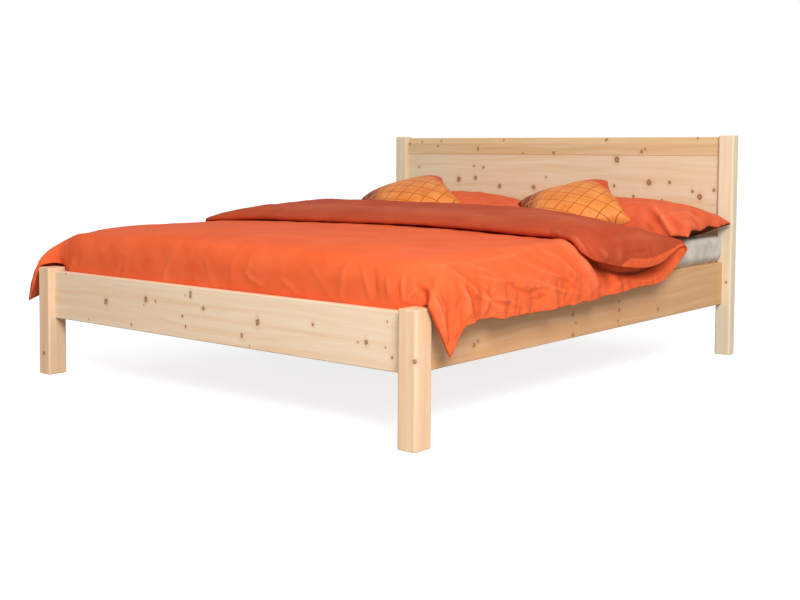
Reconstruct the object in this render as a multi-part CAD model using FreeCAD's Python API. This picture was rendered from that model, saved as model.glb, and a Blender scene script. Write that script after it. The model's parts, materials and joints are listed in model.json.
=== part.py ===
import FreeCAD, Part
import math
import os
from FreeCAD import Vector

# A double bed of solid stone pine for a mattress of 160 x 200 cm, with its bedding.
# Millimetres. X runs to the right as seen from the foot end, Y runs to the head end,
# Z runs up. The origin is on the floor, in the middle of the rectangle round the posts.

# Mattress and the room round it
mattress_width = 1600.0
mattress_length = 2000.0
mattress_height = 170.0
mattress_corner_radius = 34.0
mattress_edge_radius = 20.0
mattress_swell_right = 33.0
mattress_swell_left = 20.0
mattress_swell_inset = 24.0
mattress_swell_depth = 96.0
mattress_swell_corner_radius = 24.0
side_clearance = 24.0
foot_clearance = 22.0
head_clearance = 3.0
soft_gap = 0.3

# Posts
foot_post_width = 66.0
foot_post_depth = 75.0
foot_post_height = 393.0
head_post_width = 66.0
head_post_depth = 50.0
head_post_height = 900.0
post_edge_radius = 8.0
post_end_radius = 3.0

# Footboard, side rails and headboard
board_bottom = 208.0
board_height = 173.0
board_edge_radius = 4.0
footboard_thickness = 28.0
footboard_inset = 26.0
rail_thickness = 28.0
rail_inset = 38.0
headboard_thickness = 28.0
headboard_inset = 17.0
headboard_top_drop = 6.0
top_rail_height = 77.0
top_rail_bevel_height = 26.0
top_rail_bevel_depth = 9.0
panel_recess = 2.0
panel_board_count = 3
panel_edge_chamfer = 1.0
tongue_thickness = 8.0
tongue_depth = 9.0
tenon_thickness = 12.0
tenon_length = 25.0
tenon_shoulder = 18.0
tenon_end_gap = 1.0
joint_clearance = 0.2

# Hook fittings between the side rails and the posts
plate_height = 130.0
plate_width = 18.0
plate_thickness = 2.5
hook_thickness = 4.0
hook_neck_height = 14.0
hook_lip_drop = 8.0
hook_lip_depth = 4.0
hook_clearance = 0.3
hook_pocket_room = 2.0
hook_place_shares = (-0.24, 0.12)
plate_screw_shares = (-0.41, 0.41)

# Screws
screw_head_radius = 4.0
screw_shank_radius = 2.0
screw_head_height = 2.5
fitting_screw_length = 24.0
cleat_screw_bite = 16.0
cleat_screw_count = 6
cleat_screw_end = 110.0
bracket_screw_length = 20.0
leg_plate_screw_length = 18.0

# Cleats, centre beam and centre leg
cleat_height = 40.0
cleat_bearing = 21.0
cleat_lift = 1.0
cleat_end_gap = 40.0
beam_width = 60.0
beam_height = 38.0
bracket_thickness = 2.0
bracket_seat_length = 45.0
bracket_ear_width = 20.0
leg_width = 50.0
leg_edge_radius = 5.0
leg_plate_size = 90.0
leg_plate_thickness = 3.0
leg_bolt_radius = 4.0
leg_bolt_length = 45.0
leg_bolt_head_radius = 7.0
leg_bolt_head_height = 2.0

# Levelling foot under the centre leg
foot_disc_radius = 20.0
foot_disc_height = 8.0
foot_disc_edge = 2.0
foot_stem_radius = 5.0
foot_stem_length = 42.0
foot_thread_shown = 20.0
foot_travel = 12.0
foot_running_clearance = 0.1
foot_nut_radius = 9.0
foot_nut_height = 6.0
foot_nut_sides = 6
leg_stem_room = 2.0
insert_radius = 7.5
insert_length = 24.0
insert_flange_radius = 11.0
insert_flange_height = 1.5

# Slatted base
base_side_gap = 5.0
base_end_gap = 5.0
base_height = 68.0
member_width = 26.0
member_height = 50.0
end_bar_depth = 30.0
slat_rows = 14
slat_width = 53.0
slat_thickness = 8.0
slat_rise = 4.0
cap_grip = 22.0
cap_wall = 3.0
cap_lip = 2.5
dowel_radius = 4.0
dowel_length = 40.0
dowel_place_shares = (-0.25, 0.25)

# Bed pillows and cushions: width, depth, rise above and below the seam
pillow_width = 800.0
pillow_depth = 400.0
pillow_rise = 92.0
pillow_sink = 50.0
pillow_head_gap = 10.0
pillow_gap = 50.0
pillow_shift = 51.3
pillow_room_gap = 1.0
cushion_width = 410.0
cushion_depth = 410.0
cushion_rise = 72.0
cushion_sink = 60.0
cushion_right_shift_x = -139.0
cushion_right_shift_y = -156.0
cushion_right_lift = 94.0
cushion_right_yaw = 45.0
cushion_right_lean = 22.0
cushion_right_tilt = -15.0
cushion_left_shift_x = -105.0
cushion_left_shift_y = -196.0
cushion_left_lift = 104.0
cushion_left_yaw = 54.0
cushion_left_lean = 18.0
cushion_left_tilt = -15.0

# Duvet: it hangs over both sides, its foot end is tucked behind the footboard
# and its head end is folded back
duvet_thickness = 42.0
duvet_crown = 16.0
duvet_side_thickness = 24.0
duvet_hem_thickness = 16.0
duvet_shoulder = 75.0
duvet_shoulder_share = 0.31
duvet_inner_radius = 16.0
duvet_flare = 108.0
duvet_head_gap = 532.0
duvet_fold_skew_share = 0.11
duvet_hem_clearance = 26.0
duvet_tuck_depth = 180.0
duvet_tuck_side_gap = 6.0
duvet_tuck_rise = 50.0
duvet_tuck_shoulder = 30.0
duvet_corner_bulge = 44.0
duvet_corner_height = 95.0
duvet_corner_length = 70.0
duvet_corner_tip = 26.0
duvet_left_corner_inset = 11.0
duvet_left_tip_drop = 216.0
duvet_right_corner_inset = 56.0
duvet_right_tip_drop = 226.0
duvet_fold_shoulder = 210.0
duvet_fold_shoulder_share = 0.6
duvet_fold_length = 700.0
duvet_fold_thickness = 52.0
duvet_fold_hem_rise = 188.0
duvet_fold_bury = 8.0
duvet_fold_end_gap = 4.0

# Length that cuts run past a face, and the difference below which places are the same
overrun = 1.0
same_place = 1e-6

# Places that follow from the sizes above
clear_half_width = mattress_width / 2 + side_clearance
rail_outer_x = clear_half_width + rail_thickness
outer_half_width = rail_outer_x + rail_inset
inside_length = foot_clearance + mattress_length + head_clearance
outer_length = (footboard_inset + footboard_thickness + inside_length
                + head_post_depth - headboard_inset)
foot_y = -outer_length / 2
head_y = outer_length / 2
footboard_front_y = foot_y + footboard_inset
footboard_back_y = footboard_front_y + footboard_thickness
headboard_front_y = head_y - head_post_depth + headboard_inset
foot_post_back_y = foot_y + foot_post_depth
head_post_front_y = head_y - head_post_depth
board_top = board_bottom + board_height
headboard_top = head_post_height - headboard_top_drop
cleat_bottom = board_bottom + cleat_lift
cleat_top = cleat_bottom + cleat_height
mattress_bottom = cleat_top + base_height
mattress_top = mattress_bottom + mattress_height
rail_centre_x = clear_half_width + rail_thickness / 2
mattress_foot_y = footboard_back_y + foot_clearance
mattress_head_y = mattress_foot_y + mattress_length

UP = Vector(0, 0, 1)
SIDES = (("left", -1), ("right", 1))


def block(low, high):
    """A box between two opposite corners, given in any order."""
    x0, x1 = sorted((low[0], high[0]))
    y0, y1 = sorted((low[1], high[1]))
    z0, z1 = sorted((low[2], high[2]))
    return Part.makeBox(x1 - x0, y1 - y0, z1 - z0, Vector(x0, y0, z0))


def cylinder(radius, start, axis, length):
    """A round bar from a start point along an axis."""
    return Part.makeCylinder(radius, length, Vector(*start), Vector(*axis))


def straight_edges(shape, direction):
    """The straight edges of a shape that run along a direction."""
    found = []
    for edge in shape.Edges:
        if edge.Curve.TypeId != "Part::GeomLine":
            continue
        if abs(edge.tangentAt(edge.FirstParameter).dot(direction)) > 1 - same_place:
            found.append(edge)
    return found


def level_edges(shape, height):
    """The edges of a shape that lie at one height."""
    found = []
    for edge in shape.Edges:
        box = edge.BoundBox
        if abs(box.ZMin - height) < same_place and abs(box.ZMax - height) < same_place:
            found.append(edge)
    return found


def countersunk_screw(start, axis, length):
    """A wood screw whose head is flush with the face at start."""
    place = Vector(*start)
    way = Vector(*axis)
    head = Part.makeCone(screw_head_radius, screw_shank_radius, screw_head_height, place, way)
    shank = Part.makeCylinder(screw_shank_radius, length, place, way)
    return head.fuse(shank).removeSplitter()


def cut_all(shape, tools):
    """The shape without each of the tools."""
    return shape.cut(Part.makeCompound(list(tools)))


def group(solids):
    """Separate solids that share one node."""
    return Part.makeCompound(list(solids))


def face_arc(start, middle, end):
    """An edge along the arc through three points."""
    return Part.Arc(Vector(*start), Vector(*middle), Vector(*end)).toShape()


def straight(start, end):
    """A straight edge between two points."""
    return Part.makeLine(Vector(*start), Vector(*end))


# Posts

def plain_post(low, high):
    """A square post with rounded edges and softened ends."""
    post = block(low, high)
    post = post.makeFillet(post_edge_radius, straight_edges(post, UP))
    ends = level_edges(post, low[2]) + level_edges(post, high[2])
    return post.makeFillet(post_end_radius, ends)


def foot_post(side):
    """The post at the foot end on one side."""
    outer = side * outer_half_width
    inner = side * (outer_half_width - foot_post_width)
    return plain_post((outer, foot_y, 0), (inner, foot_post_back_y, foot_post_height))


def head_post(side):
    """The taller post at the head end on one side."""
    outer = side * outer_half_width
    inner = side * (outer_half_width - head_post_width)
    return plain_post((outer, head_post_front_y, 0), (inner, head_y, head_post_height))


# Boards with a stub tenon at each end

def tenon(side, shoulder_x, y_middle, bottom, top, room):
    """The tenon of a board at one end; room is the clearance that its mortise adds."""
    reach = tenon_length + (tenon_end_gap if room else 0)
    half = tenon_thickness / 2 + room
    return block((side * (shoulder_x - overrun), y_middle - half, bottom + tenon_shoulder - room),
                 (side * (shoulder_x + reach), y_middle + half, top - tenon_shoulder + room))


def footboard_board():
    """The footboard between the foot posts."""
    half = outer_half_width - foot_post_width
    board = block((-half, footboard_front_y, board_bottom), (half, footboard_back_y, board_top))
    board = board.makeFillet(board_edge_radius, straight_edges(board, Vector(1, 0, 0)))
    middle = (footboard_front_y + footboard_back_y) / 2
    ends = [tenon(side, half, middle, board_bottom, board_top, 0) for _, side in SIDES]
    return board.multiFuse(ends).removeSplitter()


def footboard_mortise(side):
    """The pocket in a foot post for the footboard's tenon."""
    half = outer_half_width - foot_post_width
    middle = (footboard_front_y + footboard_back_y) / 2
    return tenon(side, half, middle, board_bottom, board_top, joint_clearance)


panel_height = headboard_top - top_rail_height - board_bottom
panel_board_height = panel_height / panel_board_count
panel_front_y = headboard_front_y + panel_recess
panel_back_y = headboard_front_y + headboard_thickness
panel_middle_y = (panel_front_y + panel_back_y) / 2
head_half = outer_half_width - head_post_width


def panel_levels(index):
    """Bottom and top of one board of the headboard's panel, counted from below."""
    bottom = board_bottom + index * panel_board_height
    return bottom, bottom + panel_board_height


def tongue(height, room):
    """The loose tongue that lines up two boards where they meet at a height."""
    half = tongue_thickness / 2 + room
    reach = tongue_depth + room
    return block((-head_half + tongue_depth, panel_middle_y - half, height - reach),
                 (head_half - tongue_depth, panel_middle_y + half, height + reach))


def panel_board(index):
    """One board of the headboard's panel, with tenons and tongue grooves."""
    bottom, top = panel_levels(index)
    board = block((-head_half, panel_front_y, bottom), (head_half, panel_back_y, top))
    board = board.makeChamfer(panel_edge_chamfer, straight_edges(board, Vector(1, 0, 0)))
    ends = [tenon(side, head_half, panel_middle_y, bottom, top, 0) for _, side in SIDES]
    board = board.multiFuse(ends).removeSplitter()
    cuts = [tongue(top, joint_clearance)]
    if index > 0:
        cuts.append(tongue(bottom, joint_clearance))
    else:
        face, way = BEAM_ENDS[1]
        cuts.extend(bracket_screws(face, way))
    return cut_all(board, cuts)


def top_rail():
    """The headboard's top rail, bevelled along its upper front edge."""
    bottom = headboard_top - top_rail_height
    bevel_foot = headboard_top - top_rail_bevel_height
    corners = [(headboard_front_y, bottom), (panel_back_y, bottom), (panel_back_y, headboard_top),
               (headboard_front_y + top_rail_bevel_depth, headboard_top),
               (headboard_front_y, bevel_foot)]
    points = [Vector(-head_half, y, z) for y, z in corners]
    face = Part.Face(Part.makePolygon(points + points[:1]))
    rail = face.extrude(Vector(head_half + head_half, 0, 0))
    ends = [tenon(side, head_half, panel_middle_y, bottom, headboard_top, 0) for _, side in SIDES]
    rail = rail.multiFuse(ends).removeSplitter()
    return rail.cut(tongue(bottom, joint_clearance))


def headboard_mortises(side):
    """The pockets in a head post for the headboard's tenons."""
    pockets = []
    for index in range(panel_board_count):
        bottom, top = panel_levels(index)
        pockets.append(tenon(side, head_half, panel_middle_y, bottom, top, joint_clearance))
    pockets.append(tenon(side, head_half, panel_middle_y, headboard_top - top_rail_height,
                         headboard_top, joint_clearance))
    return pockets


# Hook fittings. Each rail end carries a plate with two hooks, which drop behind
# the slotted plate that is let into the post.

plate_middle_z = board_bottom + board_height / 2
hook_reach = plate_thickness + hook_clearance + hook_lip_depth
RAIL_ENDS = [(side, end) for _, side in SIDES for end in (-1, 1)]


def joint_y(end):
    """Where a rail's end meets its post: end is -1 at the foot and 1 at the head."""
    return foot_post_back_y if end < 0 else head_post_front_y


def plate_blank(side, y_from, y_to):
    """A fitting plate before its holes."""
    middle = side * rail_centre_x
    return block((middle - plate_width / 2, y_from, plate_middle_z - plate_height / 2),
                 (middle + plate_width / 2, y_to, plate_middle_z + plate_height / 2))


def hook(side, end, share):
    """One hook of a rail's plate."""
    middle = side * rail_centre_x
    half = hook_thickness / 2
    face = joint_y(end)
    neck_bottom = plate_middle_z + share * plate_height
    neck_top = neck_bottom + hook_neck_height
    lip_near = face + end * (plate_thickness + hook_clearance)
    neck = block((middle - half, face - end * plate_thickness / 2, neck_bottom),
                 (middle + half, face + end * hook_reach, neck_top))
    lip = block((middle - half, lip_near, neck_bottom - hook_lip_drop),
                (middle + half, face + end * hook_reach, neck_top))
    return neck.fuse(lip)


def hook_slot(side, end, share):
    """The slot of a post's plate that one hook passes through and rests in."""
    middle = side * rail_centre_x
    half = hook_thickness / 2 + hook_clearance
    face = joint_y(end)
    bottom = plate_middle_z + share * plate_height
    top = bottom + hook_neck_height + hook_lip_drop + hook_clearance
    return block((middle - half, face - end * overrun, bottom),
                 (middle + half, face + end * (plate_thickness + overrun), top))


def hook_pocket(side, end, share):
    """The room in the post behind a slot."""
    middle = side * rail_centre_x
    half = hook_thickness / 2 + hook_pocket_room
    face = joint_y(end)
    neck_bottom = plate_middle_z + share * plate_height
    bottom = neck_bottom - hook_lip_drop - hook_pocket_room
    top = neck_bottom + hook_neck_height + hook_lip_drop + hook_pocket_room
    return block((middle - half, face + end * plate_thickness / 2, bottom),
                 (middle + half, face + end * (hook_reach + hook_pocket_room), top))


def plate_screws(side, end, way):
    """The screws of one plate; way is 1 into the post and -1 into the rail."""
    middle = side * rail_centre_x
    screws = []
    for share in plate_screw_shares:
        height = plate_middle_z + share * plate_height
        start = (middle, joint_y(end), height)
        screws.append(countersunk_screw(start, (0, end * way, 0), fitting_screw_length))
    return screws


def rail_plate(side, end):
    """The plate with hooks at one end of a rail."""
    face = joint_y(end)
    plate = plate_blank(side, face - end * plate_thickness, face)
    plate = cut_all(plate, plate_screws(side, end, -1))
    return plate.multiFuse([hook(side, end, share) for share in hook_place_shares])


def post_plate(side, end):
    """The slotted plate let into one post."""
    face = joint_y(end)
    plate = plate_blank(side, face, face + end * plate_thickness)
    slots = [hook_slot(side, end, share) for share in hook_place_shares]
    return cut_all(plate, slots + plate_screws(side, end, 1))


def post_fitting_cuts(side, end):
    """Everything that a post's fitting takes out of the post."""
    face = joint_y(end)
    seat = plate_blank(side, face - end * overrun, face + end * plate_thickness)
    pockets = [hook_pocket(side, end, share) for share in hook_place_shares]
    return [seat] + pockets + plate_screws(side, end, 1)


def side_rail(side):
    """A side rail with its fittings let into its ends and its cleat's screw holes."""
    outer = side * rail_outer_x
    inner = side * clear_half_width
    rail = block((outer, foot_post_back_y, board_bottom), (inner, head_post_front_y, board_top))
    rail = rail.makeFillet(board_edge_radius, straight_edges(rail, Vector(0, 1, 0)))
    cuts = list(cleat_screws(side))
    for end in (-1, 1):
        face = joint_y(end)
        cuts.append(plate_blank(side, face - end * plate_thickness, face + end * overrun))
        cuts.extend(plate_screws(side, end, -1))
    return cut_all(rail, cuts)


# Cleats that carry the slatted base along the side rails

cleat_width = side_clearance + cleat_bearing
cleat_foot_y = footboard_back_y + cleat_end_gap
cleat_head_y = headboard_front_y - cleat_end_gap


def cleat_screws(side):
    """The screws that hold one cleat to its rail."""
    inner_face = side * (clear_half_width - cleat_width)
    first = cleat_foot_y + cleat_screw_end
    last = cleat_head_y - cleat_screw_end
    step = (last - first) / (cleat_screw_count - 1)
    height = cleat_bottom + cleat_height / 2
    length = cleat_width + cleat_screw_bite
    return [countersunk_screw((inner_face, first + n * step, height), (side, 0, 0), length)
            for n in range(cleat_screw_count)]


def cleat(side):
    """The batten along the inside of a side rail."""
    batten = block((side * (clear_half_width - cleat_width), cleat_foot_y, cleat_bottom),
                   (side * clear_half_width, cleat_head_y, cleat_top))
    return cut_all(batten, cleat_screws(side))


# Centre beam, its two brackets and its leg

beam_bottom = cleat_top - beam_height
BEAM_ENDS = ((footboard_back_y, 1), (headboard_front_y + panel_recess, -1))


def bracket_screws(face, way):
    """The screws of one beam bracket, driven into the board behind it."""
    reach = beam_width / 2 + bracket_thickness + bracket_ear_width / 2
    screws = []
    for x in (-reach, reach):
        for share in dowel_place_shares:
            height = beam_bottom + beam_height / 2 + share * beam_height
            start = (x, face + way * bracket_thickness, height)
            screws.append(countersunk_screw(start, (0, -way, 0), bracket_screw_length))
    return screws


def beam_bracket(face, way):
    """A folded steel bracket: a back plate with a seat round the beam's end."""
    half_seat = beam_width / 2 + bracket_thickness
    half_plate = half_seat + bracket_ear_width
    low = beam_bottom - bracket_thickness
    back = block((-half_plate, face, low), (half_plate, face + way * bracket_thickness, cleat_top))
    seat = block((-half_seat, face, low), (half_seat, face + way * bracket_seat_length, cleat_top))
    room = block((-beam_width / 2, face + way * bracket_thickness, beam_bottom),
                 (beam_width / 2, face + way * (bracket_seat_length + overrun),
                  cleat_top + overrun))
    return cut_all(back.fuse(seat), [room] + bracket_screws(face, way))


def footboard_with_holes():
    """The footboard with the holes of its beam bracket's screws."""
    face, way = BEAM_ENDS[0]
    return cut_all(footboard_board(), bracket_screws(face, way))


leg_top = beam_bottom - leg_plate_thickness
leg_bottom = foot_disc_height + foot_thread_shown


def leg_plate_screws():
    """The four screws that hold the leg's plate to the beam."""
    reach_y = (leg_plate_size + leg_width) / 4
    reach_x = beam_width / 4
    return [countersunk_screw((x, y, leg_top), (0, 0, 1), leg_plate_screw_length)
            for x in (-reach_x, reach_x) for y in (-reach_y, reach_y)]


def leg_bolt():
    """The bolt that holds the leg to its plate, its flat head let into the beam."""
    head = cylinder(leg_bolt_head_radius, (0, 0, beam_bottom), (0, 0, 1), leg_bolt_head_height)
    shank = cylinder(leg_bolt_radius, (0, 0, beam_bottom - leg_bolt_length), (0, 0, 1),
                     leg_bolt_length)
    return head.fuse(shank).removeSplitter()


def centre_beam():
    """The beam along the middle of the bed."""
    low_y = BEAM_ENDS[0][0] + bracket_thickness
    high_y = BEAM_ENDS[1][0] - bracket_thickness
    beam = block((-beam_width / 2, low_y, beam_bottom), (beam_width / 2, high_y, cleat_top))
    return cut_all(beam, leg_plate_screws() + [leg_bolt()])


def leg_plate():
    """The steel plate between the leg and the beam."""
    half_x = beam_width / 2
    half_y = leg_plate_size / 2
    plate = block((-half_x, -half_y, leg_top), (half_x, half_y, beam_bottom))
    return cut_all(plate, leg_plate_screws() + [leg_bolt()])


def leg_insert():
    """The threaded sleeve in the bottom of the leg, drawn with a plain bore."""
    bore_radius = foot_stem_radius + foot_running_clearance
    body = cylinder(insert_radius, (0, 0, leg_bottom), (0, 0, 1), insert_length)
    flange = cylinder(insert_flange_radius, (0, 0, leg_bottom), (0, 0, 1), insert_flange_height)
    bore = cylinder(bore_radius, (0, 0, leg_bottom - overrun), (0, 0, 1),
                    insert_length + 2 * overrun)
    return body.fuse(flange).cut(bore)


def centre_leg():
    """The square leg under the middle of the beam."""
    half = leg_width / 2
    leg = block((-half, -half, leg_bottom), (half, half, leg_top))
    leg = leg.makeFillet(leg_edge_radius, straight_edges(leg, UP))
    flange_seat = cylinder(insert_flange_radius, (0, 0, leg_bottom), (0, 0, 1),
                           insert_flange_height)
    sleeve_hole = cylinder(insert_radius, (0, 0, leg_bottom), (0, 0, 1), insert_length)
    stem_top = foot_disc_height + foot_stem_length + foot_travel + leg_stem_room
    stem_room = cylinder(foot_stem_radius + foot_running_clearance, (0, 0, leg_bottom), (0, 0, 1),
                         stem_top - leg_bottom)
    return cut_all(leg, [flange_seat, sleeve_hole, stem_room, leg_bolt()])


def levelling_foot():
    """The foot disc with its stem."""
    disc = cylinder(foot_disc_radius, (0, 0, 0), (0, 0, 1), foot_disc_height)
    disc = disc.makeFillet(foot_disc_edge, level_edges(disc, foot_disc_height))
    stem = cylinder(foot_stem_radius, (0, 0, foot_disc_height / 2), (0, 0, 1),
                    foot_disc_height / 2 + foot_stem_length)
    return disc.fuse(stem).removeSplitter()


def foot_nut():
    """The hexagon nut on the stem, just above the disc."""
    turns = [math.tau * n / foot_nut_sides for n in range(foot_nut_sides)]
    corners = [Vector(foot_nut_radius * math.cos(turn), foot_nut_radius * math.sin(turn),
                      foot_disc_height) for turn in turns]
    face = Part.Face(Part.makePolygon(corners + corners[:1]))
    nut = face.extrude(Vector(0, 0, foot_nut_height))
    return nut.cut(cylinder(foot_stem_radius, (0, 0, 0), (0, 0, 1), leg_bottom))


# Slatted base: two side members, a centre member, end bars and rows of spring slats

base_half_width = mattress_width / 2 - base_side_gap
base_foot_y = mattress_foot_y + base_end_gap
base_head_y = mattress_head_y - base_end_gap
base_bottom = cleat_top
member_top = base_bottom + member_height
slat_end_z = mattress_bottom - slat_rise - slat_thickness
slat_outer_x = base_half_width - cap_wall
slat_inner_x = cap_wall / 2
end_bar_inner_foot = base_foot_y + end_bar_depth
end_bar_inner_head = base_head_y - end_bar_depth


def side_member(side):
    """A long outer member of the slatted base."""
    return block((side * base_half_width, base_foot_y, base_bottom),
                 (side * (base_half_width - member_width), base_head_y, member_top))


def end_bar(foot_side_y, head_side_y):
    """A cross bar at one end of the slatted base."""
    half = base_half_width - member_width
    return block((-half, foot_side_y, base_bottom), (half, head_side_y, member_top))


def centre_member():
    """The long member over the centre beam."""
    half = member_width / 2
    return block((-half, end_bar_inner_foot, base_bottom), (half, end_bar_inner_head, member_top))


def base_dowels():
    """The dowels that join the base's members and end bars."""
    dowels = []
    joint_x = base_half_width - member_width
    for _, side in SIDES:
        for bar_y in (base_foot_y + end_bar_depth / 2, base_head_y - end_bar_depth / 2):
            for share in dowel_place_shares:
                height = base_bottom + member_height / 2 + share * member_height
                start = (side * (joint_x - dowel_length / 2), bar_y, height)
                dowels.append(cylinder(dowel_radius, start, (side, 0, 0), dowel_length))
    for bar_y, way in ((end_bar_inner_foot, 1), (end_bar_inner_head, -1)):
        for share in dowel_place_shares:
            height = base_bottom + member_height / 2 + share * member_height
            start = (0, bar_y - way * dowel_length / 2, height)
            dowels.append(cylinder(dowel_radius, start, (0, way, 0), dowel_length))
    return dowels


def slat_rows_y():
    """The middle of each row of slats."""
    room = base_head_y - base_foot_y
    pitch = room / slat_rows
    return [base_foot_y + (n + 0.5) * pitch for n in range(slat_rows)]


def slat(side, y_middle):
    """One half-width spring slat, bowed upwards to carry the mattress."""
    inner = side * slat_inner_x
    outer = side * slat_outer_x
    middle = (inner + outer) / 2
    y = y_middle - slat_width / 2
    low = slat_end_z
    high = slat_end_z + slat_thickness
    edges = [straight((inner, y, high), (inner, y, low)),
             face_arc((inner, y, low), (middle, y, low + slat_rise), (outer, y, low)),
             straight((outer, y, low), (outer, y, high)),
             face_arc((outer, y, high), (middle, y, high + slat_rise), (inner, y, high))]
    return Part.Face(Part.Wire(edges)).extrude(Vector(0, slat_width, 0))


def cap(x_from, x_to, y_middle, slats):
    """A rubber cap on a member, with the slat ends let into it."""
    half = slat_width / 2 + cap_wall
    top = slat_end_z + slat_thickness + cap_lip
    body = block((x_from, y_middle - half, member_top), (x_to, y_middle + half, top))
    return cut_all(body, slats)


def slatted_base_nodes():
    """All nodes of the slatted base."""
    dowels = base_dowels()
    slats = []
    side_caps = []
    centre_caps = []
    for y_middle in slat_rows_y():
        row = [slat(side, y_middle) for _, side in SIDES]
        slats.extend(row)
        for _, side in SIDES:
            side_caps.append(cap(side * base_half_width,
                                 side * (base_half_width - cap_wall - cap_grip), y_middle, row))
        reach = cap_wall / 2 + cap_grip
        centre_caps.append(cap(-reach, reach, y_middle, row))
    bars = [end_bar(base_foot_y, end_bar_inner_foot), end_bar(end_bar_inner_head, base_head_y)]
    return {
        "base_side_members": group(cut_all(side_member(side), dowels) for _, side in SIDES),
        "base_centre_member": cut_all(centre_member(), dowels),
        "base_end_bars": group(cut_all(bar, dowels) for bar in bars),
        "base_dowels": group(dowels),
        "base_slats": group(slats),
        "base_side_caps": group(side_caps),
        "base_centre_caps": group(centre_caps),
    }


# Mattress: it lies against the right rail and swells over both rails

mattress_right_x = clear_half_width - soft_gap
mattress_left_x = mattress_right_x - mattress_width
mattress_seat_z = mattress_bottom + soft_gap
swell_bottom = board_top + 2 * soft_gap
SWELLS = ((mattress_right_x, 1, mattress_swell_right), (mattress_left_x, -1, mattress_swell_left))


def soft_block(low, high, corner_radius, edge_radius):
    """A block with rounded corners all round."""
    body = block(low, high)
    body = body.makeFillet(corner_radius, straight_edges(body, UP))
    z_low, z_high = sorted((low[2], high[2]))
    return body.makeFillet(edge_radius, level_edges(body, z_low) + level_edges(body, z_high))


def mattress():
    """The mattress as one soft closed solid."""
    body = soft_block((mattress_left_x, mattress_foot_y, mattress_seat_z),
                      (mattress_right_x, mattress_head_y, mattress_top),
                      mattress_corner_radius, mattress_edge_radius)
    for face_x, side, swell in SWELLS:
        bulge = soft_block((face_x - side * mattress_swell_depth,
                            mattress_foot_y + mattress_swell_inset, swell_bottom),
                           (face_x + side * swell, mattress_head_y - mattress_swell_inset,
                            mattress_top), mattress_swell_corner_radius, mattress_edge_radius)
        body = body.fuse(bulge)
    return body.removeSplitter()


# Pillows and cushions: closed forms with a crown, a seam and drawn-in sides.
# Each level gives the share of the rise, of the size, of the side bow and of the corner.

crown_level_shares = ((0.0, 1.0, 0.07, 0.10), (0.34, 0.94, 0.035, 0.20), (0.66, 0.83, -0.01, 0.34),
                      (0.90, 0.64, -0.06, 0.50), (1.0, 0.36, -0.12, 0.66))
corner_cut_share = 1 - math.sqrt(0.5)


def cushion_outline(half_width, half_depth, bow, corner, height):
    """A closed outline of four side arcs and four corner arcs at one height."""
    cut = corner * corner_cut_share
    a = half_width
    b = half_depth
    rim = [
        ((-a + corner, -b), (0, -b + bow), (a - corner, -b)),
        ((a - corner, -b), (a - cut, -b + cut), (a, -b + corner)),
        ((a, -b + corner), (a - bow, 0), (a, b - corner)),
        ((a, b - corner), (a - cut, b - cut), (a - corner, b)),
        ((a - corner, b), (0, b - bow), (-a + corner, b)),
        ((-a + corner, b), (-a + cut, b - cut), (-a, b - corner)),
        ((-a, b - corner), (-a + bow, 0), (-a, -b + corner)),
        ((-a, -b + corner), (-a + cut, -b + cut), (-a + corner, -b)),
    ]
    edges = [face_arc(*[(x, y, height) for x, y in points]) for points in rim]
    return Part.Wire(edges)


def crowned_half(width, depth, rise):
    """One half of a cushion, from its seam to its crown; a negative rise goes down."""
    wires = []
    half_small = min(width, depth) / 2
    for rise_share, size_share, bow_share, corner_share in crown_level_shares:
        wires.append(cushion_outline(width / 2 * size_share, depth / 2 * size_share,
                                     bow_share * half_small, corner_share * half_small * size_share,
                                     rise * rise_share))
    return Part.makeLoft(wires, True, False)


def cushion_form(width, depth, rise, sink):
    """A whole cushion about its seam."""
    form = crowned_half(width, depth, rise).fuse(crowned_half(width, depth, -sink))
    return form.removeSplitter()


pillow_y = headboard_front_y - headboard_inset - pillow_head_gap - pillow_depth / 2
pillow_seam_z = mattress_top + soft_gap + pillow_sink
pillow_middle_x = (mattress_left_x + mattress_right_x) / 2 + pillow_shift
pillow_right_x = pillow_middle_x + (pillow_gap + pillow_width) / 2
pillow_left_x = pillow_middle_x - (pillow_gap + pillow_width) / 2


def pillow(centre_x):
    """A bed pillow lying on the mattress against the headboard."""
    form = cushion_form(pillow_width, pillow_depth, pillow_rise, pillow_sink)
    form.translate(Vector(centre_x, pillow_y, pillow_seam_z))
    return form


def cushion(place, yaw, lean, tilt):
    """A cushion about its seam, tilted sideways, leaned back and turned to the foot corner."""
    form = cushion_form(cushion_width, cushion_depth, cushion_rise, cushion_sink)
    origin = Vector(0, 0, 0)
    form.rotate(origin, Vector(0, 1, 0), tilt)
    form.rotate(origin, Vector(1, 0, 0), lean)
    form.rotate(origin, UP, yaw)
    form.translate(Vector(*place))
    return form


def pillow_room(centre_x):
    """The space that a pillow takes, with a little room, and all that lies below it."""
    room = cushion_form(pillow_width + 2 * pillow_room_gap, pillow_depth + 2 * pillow_room_gap,
                        pillow_rise + pillow_room_gap, pillow_sink)
    room.translate(Vector(centre_x, pillow_y, pillow_seam_z))
    below = block((centre_x - pillow_width / 2 - pillow_room_gap, pillow_y - pillow_depth / 2
                   - pillow_room_gap, mattress_bottom),
                  (centre_x + pillow_width / 2 + pillow_room_gap,
                   headboard_front_y, pillow_seam_z + pillow_room_gap))
    return [room, below]


def front_of_fold():
    """All that lies on the foot side of the duvet's folded edge."""
    def fold_y(x):
        return duvet_fold_y + soft_gap * 2 + duvet_fold_skew_share * x
    reach = outer_half_width
    corners = [Vector(-reach, foot_y, 0), Vector(reach, foot_y, 0),
               Vector(reach, fold_y(reach), 0), Vector(-reach, fold_y(-reach), 0)]
    face = Part.Face(Part.makePolygon(corners + corners[:1]))
    return face.extrude(Vector(0, 0, head_post_height))


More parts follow.
